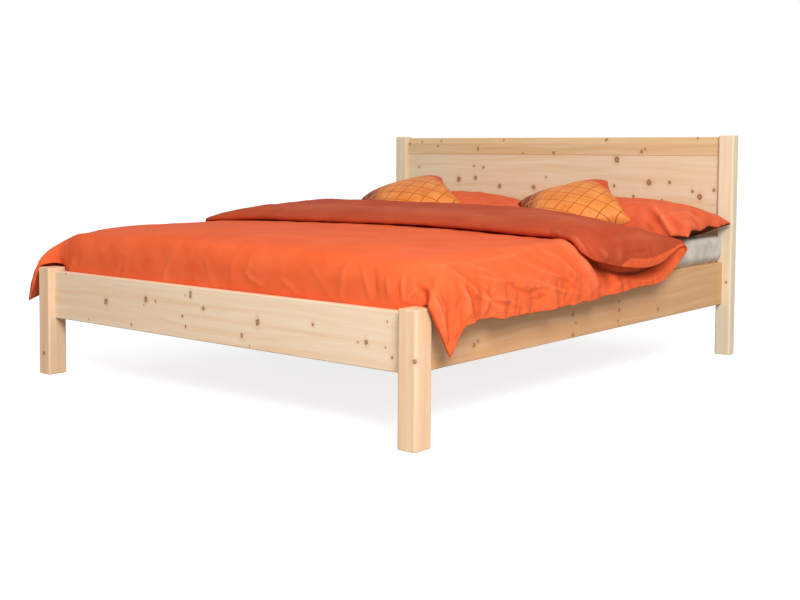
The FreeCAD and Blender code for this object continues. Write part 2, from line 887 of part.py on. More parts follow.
def seated_cushion(place, yaw, lean, tilt, pillow_centre_x):
    """A cushion pressed against its pillow, the mattress and the duvet's fold."""
    form = cushion(place, yaw, lean, tilt)
    reach = outer_half_width
    under = block((-reach, foot_y, 0), (reach, head_y, mattress_top + soft_gap))
    return cut_all(form, pillow_room(pillow_centre_x) + [front_of_fold(), under])


# Duvet. Stations run from the foot to the head. Each gives the share of the length,
# of the full height, of the right and left drop, and of the way the sides swing out.

duvet_inner_right = mattress_right_x + mattress_swell_right + 2 * soft_gap
duvet_inner_left = -(rail_outer_x + 2 * soft_gap)
duvet_inner_top = mattress_top + soft_gap
duvet_reach = rail_outer_x + duvet_flare
duvet_foot_y = mattress_foot_y - soft_gap
duvet_fold_y = mattress_head_y - duvet_head_gap
duvet_main_top = duvet_inner_top + duvet_thickness + duvet_crown
hem_full_drop = mattress_top - board_bottom - duvet_hem_clearance
duvet_station_shares = (
    (0.000, 0.50, 0.44, 0.44, 0.44), (0.020, 0.72, 0.76, 0.66, 0.48),
    (0.050, 0.88, 0.84, 0.80, 0.58), (0.100, 0.96, 0.68, 0.72, 0.46),
    (0.160, 1.00, 0.64, 0.64, 0.78), (0.240, 1.01, 0.69, 0.62, 0.52),
    (0.330, 0.99, 0.63, 0.66, 0.88), (0.430, 1.02, 0.64, 0.60, 0.54),
    (0.540, 1.00, 0.59, 0.64, 0.90), (0.660, 1.00, 0.57, 0.58, 0.56),
    (0.770, 1.00, 0.60, 0.62, 0.84), (0.870, 0.99, 0.56, 0.56, 0.54),
    (0.950, 0.94, 0.44, 0.44, 0.46), (1.000, 0.70, 0.24, 0.26, 0.36))
fold_station_shares = (
    (0.000, 0.22, 0.50, 0.50, 0.70), (0.030, 0.56, 0.76, 0.72, 0.80),
    (0.200, 0.84, 0.96, 0.92, 0.92), (0.400, 0.96, 1.00, 0.96, 0.84),
    (0.620, 1.04, 1.04, 1.00, 0.96), (0.800, 1.02, 1.00, 0.96, 0.82),
    (0.920, 0.88, 0.80, 0.80, 0.66), (0.975, 0.50, 0.60, 0.60, 0.50),
    (1.000, 0.04, 0.40, 0.40, 0.40))


def duvet_section(y, skew, top, right_hem, left_hem, swing, shoulder, shoulder_share, bury):
    """A closed section across the bed: over the top, down both sides and back inside.

    The section stands upright and is turned so that y grows by the skew times x. An outer
    layer's inside is buried in the layer below it.
    """
    right_in = duvet_inner_right + bury
    left_in = duvet_inner_left - bury
    right_out = duvet_inner_right + duvet_side_thickness
    left_out = duvet_inner_left - duvet_side_thickness
    right_foot = right_out + (duvet_reach - right_out) * swing
    left_foot = left_out - (duvet_reach + left_out) * swing
    edge_top = top - duvet_crown
    right_drop = (edge_top - right_hem) * shoulder_share
    left_drop = (edge_top - left_hem) * shoulder_share
    shoulder_cut = shoulder * corner_cut_share
    r = duvet_inner_radius
    cut = r * corner_cut_share
    inner_top = duvet_inner_top + bury
    right_top_x = right_out - shoulder
    left_top_x = left_out + shoulder

    def at(x, z):
        return x, y + skew * x, z

    right_hem_out = at(right_foot, right_hem)
    left_hem_out = at(left_foot, left_hem)
    right_hem_in = at(right_foot - duvet_hem_thickness, right_hem)
    left_hem_in = at(left_foot + duvet_hem_thickness, left_hem)
    right_side = at(right_out, edge_top - right_drop)
    left_side = at(left_out, edge_top - left_drop)
    right_bend = at(right_out - shoulder_cut, edge_top - right_drop * corner_cut_share)
    left_bend = at(left_out + shoulder_cut, edge_top - left_drop * corner_cut_share)
    right_top = at(right_top_x, edge_top)
    left_top = at(left_top_x, edge_top)
    right_inside = at(right_in, inner_top - r)
    left_inside = at(left_in, inner_top - r)
    right_ceiling = at(right_in - r, inner_top)
    left_ceiling = at(left_in + r, inner_top)
    edges = [
        straight(right_hem_out, right_side),
        face_arc(right_side, right_bend, right_top),
        face_arc(right_top, at((right_top_x + left_top_x) / 2, top), left_top),
        face_arc(left_top, left_bend, left_side),
        straight(left_side, left_hem_out),
        straight(left_hem_out, left_hem_in),
        straight(left_hem_in, left_inside),
        face_arc(left_inside, at(left_in + cut, inner_top - cut), left_ceiling),
        straight(left_ceiling, right_ceiling),
        face_arc(right_ceiling, at(right_in - cut, inner_top - cut), right_inside),
        straight(right_inside, right_hem_in),
        straight(right_hem_in, right_hem_out),
    ]
    return Part.Wire(edges)


def duvet_layer(start_y, length, base_top, rise, drop, stations, shoulder, shoulder_share,
                bury):
    """One layer of the duvet, lofted through its stations up to the fold."""
    wires = []
    for along, high, right, left, swing in stations:
        wires.append(duvet_section(start_y + along * length, duvet_fold_skew_share * along,
                                   base_top + rise * high, mattress_top - drop * right,
                                   mattress_top - drop * left, swing, shoulder, shoulder_share,
                                   bury))
    return Part.makeLoft(wires, True, False)


corner_level_shares = ((0.0, 0.08), (0.25, 0.0), (0.6, 0.05), (0.85, 0.22), (1.0, 0.54))
duvet_corner_round_share = 0.8
duvet_corner_bow_share = 0.01
tuck_station_shares = ((0.0, 0.0), (0.25, 0.42), (0.60, 0.78), (1.0, 1.0))


def duvet_tuck():
    """The end of the duvet that is tucked between the mattress and the footboard."""
    half = clear_half_width - duvet_tuck_side_gap
    start = footboard_back_y + soft_gap
    length = duvet_foot_y - start
    low_top = foot_post_height + duvet_tuck_rise
    high_top = duvet_inner_top + (duvet_thickness + duvet_crown) * duvet_station_shares[0][1]
    low = mattress_top - duvet_tuck_depth
    wires = []
    for along, high in tuck_station_shares:
        y = start + along * length
        top = low_top + (high_top - low_top) * high
        edge = top - duvet_crown
        cut = duvet_tuck_shoulder * corner_cut_share
        side = edge - duvet_tuck_shoulder
        flat = half - duvet_tuck_shoulder
        wires.append(Part.Wire([
            straight((-half, y, low), (half, y, low)),
            straight((half, y, low), (half, y, side)),
            face_arc((half, y, side), (half - cut, y, edge - cut), (flat, y, edge)),
            face_arc((flat, y, edge), (0, y, top), (-flat, y, edge)),
            face_arc((-flat, y, edge), (cut - half, y, edge - cut), (-half, y, side)),
            straight((-half, y, side), (-half, y, low)),
        ]))
    return Part.makeLoft(wires, True, False)


def level_outline(x_from, x_to, y_from, y_to, z):
    """A closed outline with rounded corners at one height."""
    half_x = abs(x_to - x_from) / 2
    half_y = (y_to - y_from) / 2
    small = min(half_x, half_y)
    outline = cushion_outline(half_x, half_y, -small * duvet_corner_bow_share,
                              small * duvet_corner_round_share, z)
    outline.translate(Vector((x_from + x_to) / 2, (y_from + y_to) / 2, 0))
    return outline


def duvet_corner(side, front_y, tip_drop):
    """A foot corner of the duvet: it lies over the post's top and hangs beside it."""
    post_top = foot_post_height + soft_gap
    back_y = foot_post_back_y + duvet_corner_length
    body_x = side * (outer_half_width - foot_post_width - duvet_shoulder)
    out_x = side * (outer_half_width + duvet_corner_bulge)
    levels = []
    for rise_share, inset_share in corner_level_shares:
        inset = duvet_corner_height * inset_share
        levels.append(level_outline(body_x, out_x - side * inset, front_y + inset, back_y,
                                    post_top + duvet_corner_height * rise_share))
    lump = Part.makeLoft(levels, True, False)
    beside = side * (outer_half_width + 2 * soft_gap)
    tip_x = side * duvet_reach
    tip_z = mattress_top - tip_drop
    flap_top = post_top + duvet_corner_height * corner_level_shares[1][0]
    flap = Part.makeLoft([
        level_outline(beside, out_x, front_y, back_y, flap_top),
        level_outline(beside, out_x, front_y, back_y, post_top),
        level_outline(tip_x - side * duvet_hem_thickness, tip_x, front_y,
                      front_y + duvet_corner_tip, tip_z)], True, True)
    return [lump, flap]


def duvet():
    """The duvet as one soft closed solid."""
    main = duvet_layer(duvet_foot_y, duvet_fold_y - duvet_foot_y, duvet_inner_top,
                       duvet_main_top - duvet_inner_top, hem_full_drop, duvet_station_shares,
                       duvet_shoulder, duvet_shoulder_share, 0)
    fold = duvet_layer(duvet_fold_y - duvet_fold_length, duvet_fold_length - duvet_fold_end_gap,
                       duvet_main_top, duvet_fold_thickness,
                       hem_full_drop - duvet_fold_hem_rise, fold_station_shares,
                       duvet_fold_shoulder, duvet_fold_shoulder_share, duvet_fold_bury)
    corners = duvet_corner(-1, foot_y + duvet_left_corner_inset, duvet_left_tip_drop)
    corners += duvet_corner(1, foot_y + duvet_right_corner_inset, duvet_right_tip_drop)
    mattress_room = block((duvet_inner_left, duvet_foot_y, board_bottom),
                          (duvet_inner_right, mattress_head_y, duvet_inner_top))
    corners = [corner.cut(mattress_room) for corner in corners]
    return main.multiFuse([fold, duvet_tuck()] + corners).removeSplitter()


def build():
    """All nodes of the bed by name."""
    nodes = {}
    for name, side in SIDES:
        post = foot_post(side)
        nodes["foot_post_" + name] = cut_all(post, [footboard_mortise(side)]
                                             + post_fitting_cuts(side, -1))
        post = head_post(side)
        nodes["head_post_" + name] = cut_all(post, headboard_mortises(side)
                                             + post_fitting_cuts(side, 1))
        nodes["side_rail_" + name] = side_rail(side)
        nodes["cleat_" + name] = cleat(side)
    nodes["footboard"] = footboard_with_holes()
    board_names = ("lower", "middle", "upper")
    for index in range(panel_board_count):
        nodes["headboard_board_" + board_names[index]] = panel_board(index)
    nodes["headboard_top_rail"] = top_rail()
    nodes["headboard_tongues"] = group(tongue(panel_levels(index)[1], 0)
                                       for index in range(panel_board_count))
    nodes["rail_hook_plates"] = group(rail_plate(side, end) for side, end in RAIL_ENDS)
    nodes["post_slot_plates"] = group(post_plate(side, end) for side, end in RAIL_ENDS)
    nodes["fitting_screws"] = group(screw for side, end in RAIL_ENDS for way in (-1, 1)
                                    for screw in plate_screws(side, end, way))
    nodes["cleat_screws"] = group(screw for _, side in SIDES for screw in cleat_screws(side))
    nodes["centre_beam"] = centre_beam()
    nodes["beam_brackets"] = group(beam_bracket(face, way) for face, way in BEAM_ENDS)
    nodes["bracket_screws"] = group(screw for face, way in BEAM_ENDS
                                    for screw in bracket_screws(face, way))
    nodes["centre_leg"] = centre_leg()
    nodes["leg_plate"] = leg_plate()
    nodes["leg_plate_screws"] = group(leg_plate_screws())
    nodes["leg_bolt"] = leg_bolt()
    nodes["leg_insert"] = leg_insert()
    nodes["levelling_foot"] = levelling_foot()
    nodes["foot_lock_nut"] = foot_nut()
    nodes.update(slatted_base_nodes())
    nodes["mattress"] = mattress()
    nodes["duvet"] = duvet()
    nodes["pillow_right"] = pillow(pillow_right_x)
    nodes["pillow_left"] = pillow(pillow_left_x)
    right_place = (pillow_right_x + cushion_right_shift_x, pillow_y + cushion_right_shift_y,
                   mattress_top + cushion_right_lift)
    left_place = (pillow_left_x + cushion_left_shift_x, pillow_y + cushion_left_shift_y,
                  mattress_top + cushion_left_lift)
    nodes["cushion_right"] = seated_cushion(right_place, cushion_right_yaw, cushion_right_lean,
                                            cushion_right_tilt, pillow_right_x)
    nodes["cushion_left"] = seated_cushion(left_place, cushion_left_yaw, cushion_left_lean,
                                           cushion_left_tilt, pillow_left_x)
    return nodes


if __name__ == "__main__":
    os.makedirs("parts", exist_ok=True)
    for node_name, shape in build().items():
        shape.exportStep("parts/" + node_name + ".step")
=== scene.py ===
"""Double bed in stone pine with its bedding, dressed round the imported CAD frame."""

import json
import logging
import math
from collections.abc import Callable, Iterable, Sequence
from dataclasses import dataclass, field
from enum import Enum
from typing import Any

import bpy
import numpy as np
from bpy.types import Material, Object
from bpy.types import NodeSocket as Socket
from mathutils import Matrix, Vector
from mathutils.bvhtree import BVHTree
from numpy import ndarray as Array

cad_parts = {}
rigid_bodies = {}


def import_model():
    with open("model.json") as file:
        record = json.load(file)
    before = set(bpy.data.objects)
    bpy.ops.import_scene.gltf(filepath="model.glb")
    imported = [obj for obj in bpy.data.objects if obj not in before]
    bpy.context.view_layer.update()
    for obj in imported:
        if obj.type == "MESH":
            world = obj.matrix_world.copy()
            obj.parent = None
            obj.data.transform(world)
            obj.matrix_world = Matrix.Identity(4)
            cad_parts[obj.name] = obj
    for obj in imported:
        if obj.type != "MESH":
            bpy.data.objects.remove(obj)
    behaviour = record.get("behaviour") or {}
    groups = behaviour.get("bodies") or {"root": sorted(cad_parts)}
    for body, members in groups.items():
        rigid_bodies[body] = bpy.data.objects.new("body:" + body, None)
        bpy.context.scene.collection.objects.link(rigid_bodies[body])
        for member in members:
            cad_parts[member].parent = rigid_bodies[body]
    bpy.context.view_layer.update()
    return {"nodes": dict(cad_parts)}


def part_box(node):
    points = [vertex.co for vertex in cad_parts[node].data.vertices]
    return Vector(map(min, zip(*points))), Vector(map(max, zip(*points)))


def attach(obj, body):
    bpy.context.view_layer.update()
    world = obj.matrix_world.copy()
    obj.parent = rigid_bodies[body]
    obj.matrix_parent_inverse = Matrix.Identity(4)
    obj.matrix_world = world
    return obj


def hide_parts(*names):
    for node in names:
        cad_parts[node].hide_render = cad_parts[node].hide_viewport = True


LOG = logging.getLogger("double_bed")
MM_IN_M = 1000
WHITE = (1.0, 1.0, 1.0, 1.0)
Floats = tuple[float, ...]
Pair = tuple[float, float]
Point = tuple[float, float, float]
Knot = tuple[float, float, float, float]


class Grain(Enum):
    """The row axis that a board's fibres follow, with its cross and thickness axes."""

    LENGTHWAYS = ("Y", "Z", "X")
    CROSSWAYS = ("X", "Z", "Y")
    UPRIGHT = ("Z", "X", "Y")


class Side(Enum):
    """A side of the bed as seen from its foot end."""

    LEFT = -1
    RIGHT = 1


class KnotSize(Enum):
    """A size of knot, by its radius in metres."""

    TINY = 0.0026
    SMALL = 0.0040
    MIDDLING = 0.0058
    LARGE = 0.0082
    RING = 0.0105


# Small helpers


def srgb(hex_colour: str) -> tuple[float, ...]:
    """Turn six hex digits of an sRGB colour to the linear values a shader takes."""
    parts = [int(hex_colour[i:i + 2], 16) / 255 for i in (0, 2, 4)]
    return (*(c / 12.92 if c <= 0.04045 else ((c + 0.055) / 1.055) ** 2.4 for c in parts), 1.0)


class NodeGraph:
    """Node tree of a new material or world."""

    def __init__(self, owner: Material | bpy.types.World) -> None:
        """Turn the owner's nodes on."""
        owner.use_nodes = True
        self.owner, self.tree = owner, owner.node_tree

    def feed(self, node: bpy.types.Node, inputs: dict[Any, Any]) -> None:
        """Set or link a node's inputs.

        Args:
            node: The node.
            inputs: Value or output socket for each input, by name or number.
        """
        for key, value in inputs.items():
            if isinstance(value, Socket):
                self.tree.links.new(value, node.inputs[key])
            else:
                node.inputs[key].default_value = value

    def add(self, kind: str, inputs: dict[Any, Any], out: int | str = 0,
            stops: Sequence[tuple[float, str | float]] = (), **settings: Any) -> Socket:
        """Add a shader node with its settings, values and links.

        Args:
            kind: Blender's type name without its first word, such as Math.
            inputs: Value or output socket for each input, by name or number.
            out: Name or number of the output to return.
            stops: Position and hex colour or grey level of each stop of a colour ramp.
            settings: Attributes to set on the node first.

        Returns:
            An output of the new node.
        """
        node = self.tree.nodes.new(f"ShaderNode{kind}")
        for name, value in settings.items():
            setattr(node, name, value)
        if stops:
            node.color_ramp.elements.remove(node.color_ramp.elements[-1])
        for number, (position, level) in enumerate(stops):
            stop = node.color_ramp.elements.new(position) if number else (
                node.color_ramp.elements[0])
            stop.position = position
            stop.color = srgb(level) if isinstance(level, str) else (level, level, level, 1.0)
        self.feed(node, inputs)
        return node.outputs[out]

    def board(self, grain: Grain) -> Socket:
        """Return the place on a piece, with the fibres along the first axis."""
        parts = self.add("SeparateXYZ", {0: self.add("TexCoord", {}, "Object")}).node.outputs
        return self.add("CombineXYZ", {n: parts[axis] for n, axis in enumerate(grain.value)})

    def finish(self, inputs: dict[str, Any]) -> Material:
        """Set or link the inputs of the material's own shader and return the material."""
        self.feed(self.tree.nodes["Principled BSDF"], inputs)
        return self.owner


def deselect() -> None:
    """Deselect every object, because an operator acts on all that is selected."""
    for item in bpy.context.view_layer.objects:
        item.select_set(False)


def activate(obj: Object) -> None:
    """Make one object the only selected and active one."""
    deselect()
    obj.select_set(True)
    bpy.context.view_layer.objects.active = obj


def shade_smooth(obj: Object) -> None:
    """Shade a whole mesh smooth."""
    obj.data.polygons.foreach_set("use_smooth", [True] * len(obj.data.polygons))


def coordinates(mesh: bpy.types.Mesh) -> Array:
    """Return a mesh's vertices as an array of points."""
    flat = np.empty(len(mesh.vertices) * 3)
    mesh.vertices.foreach_get("co", flat)
    return flat.reshape(-1, 3)


def move_vertices(mesh: bpy.types.Mesh, points: Array) -> None:
    """Write points back to a mesh's vertices."""
    mesh.vertices.foreach_set("co", np.ascontiguousarray(points, dtype=np.float32).ravel())
    mesh.update()


def smooth_step(value: Array | float, low: float, high: float) -> Array:
    """Ease from 0 at low to 1 at high."""
    t = np.clip((value - low) / (high - low), 0.0, 1.0)
    return t * t * (3.0 - 2.0 * t)


def soft_noise(points: Array, size: float, seed: int) -> Array:
    """Smooth noise from crossing waves of one size and of half that size.

    Args:
        points: Points in metres.
        size: Length of the larger waves in metres.
        seed: Seed of the waves' directions.

    Returns:
        One value from about -1 to 1 for each point.
    """
    maker = np.random.default_rng(seed)
    total = np.zeros(len(points))
    waves, evening = 7, 3.2
    for octave in range(2):
        for _ in range(waves):
            direction = maker.normal(size=3)
            direction *= 2 ** octave / (size * np.linalg.norm(direction))
            phase = maker.uniform(0, 2 * math.pi)
            total += np.sin(2 * math.pi * (points @ direction) + phase) / (evening * 2 ** octave)
    return total


def smooth_curve(points: Array, places: Array) -> Array:
    """Run a smooth curve through control points.

    Args:
        points: Control points along the first axis.
        places: Places along the curve, in control point numbers.

    Returns:
        A point of the curve for each place.
    """
    last = len(points) - 1
    index = np.clip(np.floor(places).astype(int), 0, last - 1)
    t = (places - index).reshape((-1,) + (1,) * (points.ndim - 1))
    before, after = points[np.maximum(index - 1, 0)], points[np.minimum(index + 2, last)]
    start, end = points[index], points[index + 1]
    return 0.5 * (2 * start + (end - before) * t
                  + (2 * before - 5 * start + 4 * end - after) * t ** 2
                  + (3 * start - before - 3 * end + after) * t ** 3)


@dataclass(frozen=True)
class PhotoCamera:
    """The photograph's camera, fitted to the corners of the posts, boards and rails."""

    place: Point = (2.85075, -3.51704, 0.82173)
    yaw: float = 0.68698
    pitch: float = 0.05433
    roll: float = 0.00619
    focal_pixels: float = 1165.61
    frame_width: float = 800.0
    frame_height: float = 600.0
    axis_row: float = 216.0
    sensor_width: float = 36.0

    def axes(self) -> tuple[Array, Array, Array]:
        """Work out the camera's axes.

        Returns:
            Unit vectors ahead, to the right and up.
        """
        ahead = np.array((-math.sin(self.yaw) * math.cos(self.pitch),
                          math.cos(self.yaw) * math.cos(self.pitch), -math.sin(self.pitch)))
        level = np.array((math.cos(self.yaw), math.sin(self.yaw), 0.0))
        upright = np.cross(level, ahead)
        turn, lift = math.cos(self.roll), math.sin(self.roll)
        return ahead, turn * level + lift * upright, turn * upright - lift * level

    def on_plane(self, pixel: Pair, axis: int, level: float) -> Array:
        """Find where a pixel's ray meets a plane square to an axis.

        Args:
            pixel: Column and row of the photograph.
            axis: Number of the axis that the plane is square to.
            level: The plane's place on that axis, in metres.

        Returns:
            The point in metres.
        """
        ahead, right, up = self.axes()
        ray = (ahead + right * (pixel[0] - self.frame_width / 2) / self.focal_pixels
               - up * (pixel[1] - self.axis_row) / self.focal_pixels)
        start = np.array(self.place)
        return start + ray * (level - start[axis]) / ray[axis]

    def pixels(self, points: Array) -> Array:
        """Project points to the photograph's pixels.

        Args:
            points: Points in metres.

        Returns:
            Column and row for each point.
        """
        ahead, right, up = self.axes()
        offset = points - np.array(self.place)
        depth = offset @ ahead
        return np.stack((self.frame_width / 2 + self.focal_pixels * (offset @ right) / depth,
                         self.axis_row - self.focal_pixels * (offset @ up) / depth), 1)

    def build(self) -> None:
        """Make the camera and set it as the scene's camera."""
        ahead, right, up = self.axes()
        data = bpy.data.cameras.new("photo_camera")
        data.sensor_width = self.sensor_width
        data.lens = self.focal_pixels / self.frame_width * self.sensor_width
        data.shift_y = (self.axis_row - self.frame_height / 2) / self.frame_width
        camera = bpy.data.objects.new("photo_camera", data)
        bpy.context.scene.collection.objects.link(camera)
        columns = np.stack((right, up, -ahead, np.array(self.place)), 1)
        camera.matrix_world = Matrix([*columns.tolist(), (0.0, 0.0, 0.0, 1.0)])
        bpy.context.scene.camera = camera


PHOTO = PhotoCamera()


# Finishes


@dataclass(frozen=True)
class StonePine:
    """Stone pine, planed and oiled: cream wood with faint long streaks and small red knots.

    Streaks and fibres have a length and a width in metres. Real fibres are under a millimetre
    wide, so they are drawn coarser, as they would not show.
    """

    pale: str = "F0D9BD"
    middle: str = "E7BF98"
    deep: str = "D5A271"
    knot: str = "A5683F"
    knot_rim: str = "713C22"
    halo: str = "C98F5C"
    streak: Pair = (0.62, 0.020)
    streak_strength: float = 0.85
    fibre: Pair = (0.24, 0.005)
    fibre_strength: float = 0.35
    seed_step: Point = (3.7, 1.3, 0.9)
    wander_scale: float = 2.2
    wander: float = 0.05
    swing: float = 0.016
    ragged: float = 0.006
    ragged_scale: float = 90.0
    roughness: float = 0.55
    relief: float = 0.0006

    def build(self, name: str, grain: Grain, knots: Sequence[Knot], seed: int,
              tone: float) -> Material:
        """Make the wood of one board, with its knots in place.

        Args:
            name: Name of the board's material.
            grain: Direction of the fibres.
            knots: Place along, across and through the board and radius of each knot, in metres.
            seed: Number that shifts the board's pattern.
            tone: Board's own colour, from 0 for the palest to 1 for the deepest.

        Returns:
            The material.
        """
        graph = NodeGraph(bpy.data.materials.new(name))
        board = graph.board(grain)
        shift = [seed * step for step in self.seed_step]
        shifted = graph.add("VectorMath", {0: board, 1: shift}, operation="ADD")
        near = self.knot_distance(graph, board, knots, grain is Grain.UPRIGHT)
        bent = self.bend(graph, shifted, near)
        streaks = self.stretched_noise(graph, bent, self.streak, 3.0)
        fibres = self.stretched_noise(graph, bent, self.fibre, 2.0)
        mixed = tone - 0.5 * (self.streak_strength + self.fibre_strength)
        for noise, strength in ((fibres, self.fibre_strength), (streaks, self.streak_strength)):
            mixed = graph.add("Math", {0: noise, 1: strength, 2: mixed}, operation="MULTIPLY_ADD")
        colour = graph.add("ValToRGB", {0: mixed}, stops=(
            (0.0, self.pale), (0.5, self.middle), (1.0, self.deep)))
        if near is not None:
            colour = self.knot_colour(graph, colour, near)
        return graph.finish({
            "Base Color": colour, "Roughness": self.roughness, "Specular IOR Level": 0.3,
            "Normal": graph.add("Bump", {"Strength": 0.25, "Distance": self.relief,
                                         "Height": fibres})})

    @staticmethod
    def stretched_noise(graph: NodeGraph, place: Socket, size: Pair, detail: float) -> Socket:
        """Add noise drawn out along the grain.

        Args:
            graph: Nodes of the wood.
            place: Place on the board, grain first.
            size: Length and width of a streak in metres.
            detail: Detail of the noise.

        Returns:
            The noise's factor.
        """
        length, width = size
        scaled = graph.add("VectorMath", {0: place, 1: (1 / length, 1 / width, 0.5 / width)},
                           operation="MULTIPLY")
        return graph.add("TexNoise", {"Vector": scaled, "Scale": 1.0, "Detail": detail,
                                      "Roughness": 0.55})

    def bend(self, graph: NodeGraph, place: Socket, near: Socket | None) -> Socket:
        """Let the streaks wander, and swing them round the knots.

        Args:
            graph: Nodes of the wood.
            place: Place on the board, grain first.
            near: Distance to the nearest knot in radii, if there are knots.

        Returns:
            The bent place.
        """
        slow = graph.add("TexNoise", {"Vector": place, "Scale": self.wander_scale, "Detail": 1.0})
        shift = graph.add("Math", {0: slow, 1: self.wander, 2: -self.wander / 2},
                          operation="MULTIPLY_ADD")
        if near is not None:
            fall = graph.add("MapRange", {0: near, 1: 0.4, 2: 4.5, 3: self.swing, 4: 0.0},
                             interpolation_type="SMOOTHERSTEP")
            shift = graph.add("Math", {0: shift, 1: fall}, operation="ADD")
        sideways = graph.add("CombineXYZ", {1: shift})
        return graph.add("VectorMath", {0: place, 1: sideways}, operation="ADD")

    def knot_distance(self, graph: NodeGraph, place: Socket, knots: Sequence[Knot],
                      shallow: bool) -> Socket | None:
        """Measure the distance to the nearest knot, in that knot's radii.

        Args:
            graph: Nodes of the wood.
            place: Place on the board, grain first.
            knots: Place along, across and through the board and radius of each knot.
            shallow: Whether a knot ends inside the wood, and doesn't go through it.

        Returns:
            The distance, or None for a board without knots.
        """
        stretch = (1.0, 1.0, 1.0) if shallow else (1.12, 0.92, 0.0)
        shift = np.array((self.ragged / 2, self.ragged / 2, 0.0))
        rough = graph.add("TexNoise", {"Vector": place, "Scale": self.ragged_scale,
                                       "Detail": 1.0}, "Color")
        uneven = graph.add("VectorMath", {0: rough, 1: shift * 2, 2: place},
                           operation="MULTIPLY_ADD")
        flat = graph.add("VectorMath", {0: uneven, 1: stretch}, operation="MULTIPLY")
        nearest = None
        for *centre, radius in knots:
            gap = graph.add("VectorMath", {0: flat, 1: (np.array(centre) + shift) * stretch},
                            "Value", operation="DISTANCE")
            radii = graph.add("Math", {0: gap, 1: 1 / radius}, operation="MULTIPLY")
            nearest = radii if nearest is None else graph.add(
                "Math", {0: nearest, 1: radii}, operation="MINIMUM")
        return nearest

    def knot_colour(self, graph: NodeGraph, colour: Socket, near: Socket) -> Socket:
        """Colour the knots, their dark rims and the warm wood round them.

        Args:
            graph: Nodes of the wood.
            colour: Colour of the clear wood.
            near: Distance to the nearest knot in radii.

        Returns:
            The colour with its knots.
        """
        reach = graph.add("Math", {0: near, 1: 0.25}, operation="MULTIPLY")
        paint = graph.add("ValToRGB", {0: reach}, stops=(
            (0.0, self.knot), (0.15, self.knot), (0.21, self.knot_rim), (0.27, self.knot_rim),
            (0.33, self.halo)))
        share = graph.add("ValToRGB", {0: reach}, stops=(
            (0.0, 0.8), (0.25, 0.85), (0.32, 0.32), (0.6, 0.08), (1.0, 0.0)))
        return graph.add("Mix", {0: share, 6: colour, 7: paint}, 2, data_type="RGBA")


@dataclass(frozen=True)
class SteamedBeech:
    """Beech, smooth moulded plywood and dowels: pinkish brown with short dark flecks.

    Real flecks are half as wide, and are drawn coarser to show.
    """

    light: str = "DDB68C"
    dark: str = "C0925F"
    fleck_length: float = 0.012
    fleck_width: float = 0.0016
    cloud_scale: float = 9.0
    roughness: float = 0.45

    def build(self, name: str) -> Material:
        """Make the beech with its flecks along the slats and return its material."""
        graph = NodeGraph(bpy.data.materials.new(name))
        board = graph.board(Grain.CROSSWAYS)
        across = 1 / self.fleck_width
        scaled = graph.add("VectorMath", {0: board, 1: (1 / self.fleck_length, across, across)},
                           operation="MULTIPLY")
        flecks = graph.add("TexNoise", {"Vector": scaled, "Scale": 1.0, "Detail": 2.0})
        broad = graph.add("TexNoise", {"Vector": board, "Scale": self.cloud_scale, "Detail": 2.0})
        mixed = graph.add("Math", {0: flecks, 1: 0.5, 2: broad}, operation="MULTIPLY_ADD")
        return graph.finish({
            "Base Color": graph.add("ValToRGB", {0: mixed}, stops=(
                (0.55, self.light), (0.95, self.dark))),
            "Roughness": self.roughness,
            "Normal": graph.add("Bump", {"Strength": 0.2, "Distance": 0.0003,
                                         "Height": flecks})})


@dataclass(frozen=True)
class ZincPlate:
    """Zinc plated steel: a cool satin metal with faint cloudy patches."""

    colour: str = "BFC3C6"
    patch_size: float = 0.008
    smoothest: float = 0.27
    roughest: float = 0.44

    def build(self, name: str) -> Material:
        """Make the metal and return its material."""
        graph = NodeGraph(bpy.data.materials.new(name))
        cloud = graph.add("TexNoise", {"Vector": graph.add("TexCoord", {}, "Object"),
                                       "Scale": 1 / self.patch_size, "Detail": 2.0})
        return graph.finish({
            "Base Color": srgb(self.colour), "Metallic": 1.0,
            "Roughness": graph.add("MapRange", {0: cloud, 1: 0.3, 2: 0.7, 3: self.smoothest,
                                                4: self.roughest})})


@dataclass(frozen=True)
class MouldedPolymer:
    """Moulded plastic or rubber: near black with the spark texture of its mould, drawn coarser."""

    colour: str = "1E1E20"
    spark_size: float = 0.0012
    roughness: float = 0.5

    def build(self, name: str) -> Material:
        """Make the polymer and return its material."""
        graph = NodeGraph(bpy.data.materials.new(name))
        grit = graph.add("TexNoise", {"Vector": graph.add("TexCoord", {}, "Object"),
                                      "Scale": 1 / self.spark_size, "Detail": 1.0})
        return graph.finish({
            "Base Color": srgb(self.colour), "Roughness": self.roughness,
            "Normal": graph.add("Bump", {"Strength": 0.3, "Distance": 0.0002, "Height": grit})})


@dataclass(frozen=True)
class KnittedTicking:
    """Knitted mattress cover: pale grey, in soft raised stitches, drawn coarser to show."""

    pale: str = "DBD3C4"
    shade: str = "AC9C86"
    stitch: float = 0.006
    cloud_scale: float = 16.0
    roughness: float = 0.85

    def build(self, name: str) -> Material:
        """Make the knit and return its material."""
        graph = NodeGraph(bpy.data.materials.new(name))
        place = graph.add("TexCoord", {}, "Object")
        knit = graph.add("TexVoronoi", {"Vector": place, "Scale": 1 / self.stitch})
        broad = graph.add("TexNoise", {"Vector": place, "Scale": self.cloud_scale, "Detail": 4.0})
        mixed = graph.add("Math", {0: knit, 1: 0.25, 2: broad}, operation="MULTIPLY_ADD")
        return graph.finish({
            "Base Color": graph.add("ValToRGB", {0: mixed}, stops=(
                (0.4, self.pale), (1.0, self.shade))),
            "Roughness": self.roughness, "Sheen Weight": 0.2,
            "Normal": graph.add("Bump", {"Strength": 0.5, "Distance": 0.0012, "Height": knit})})


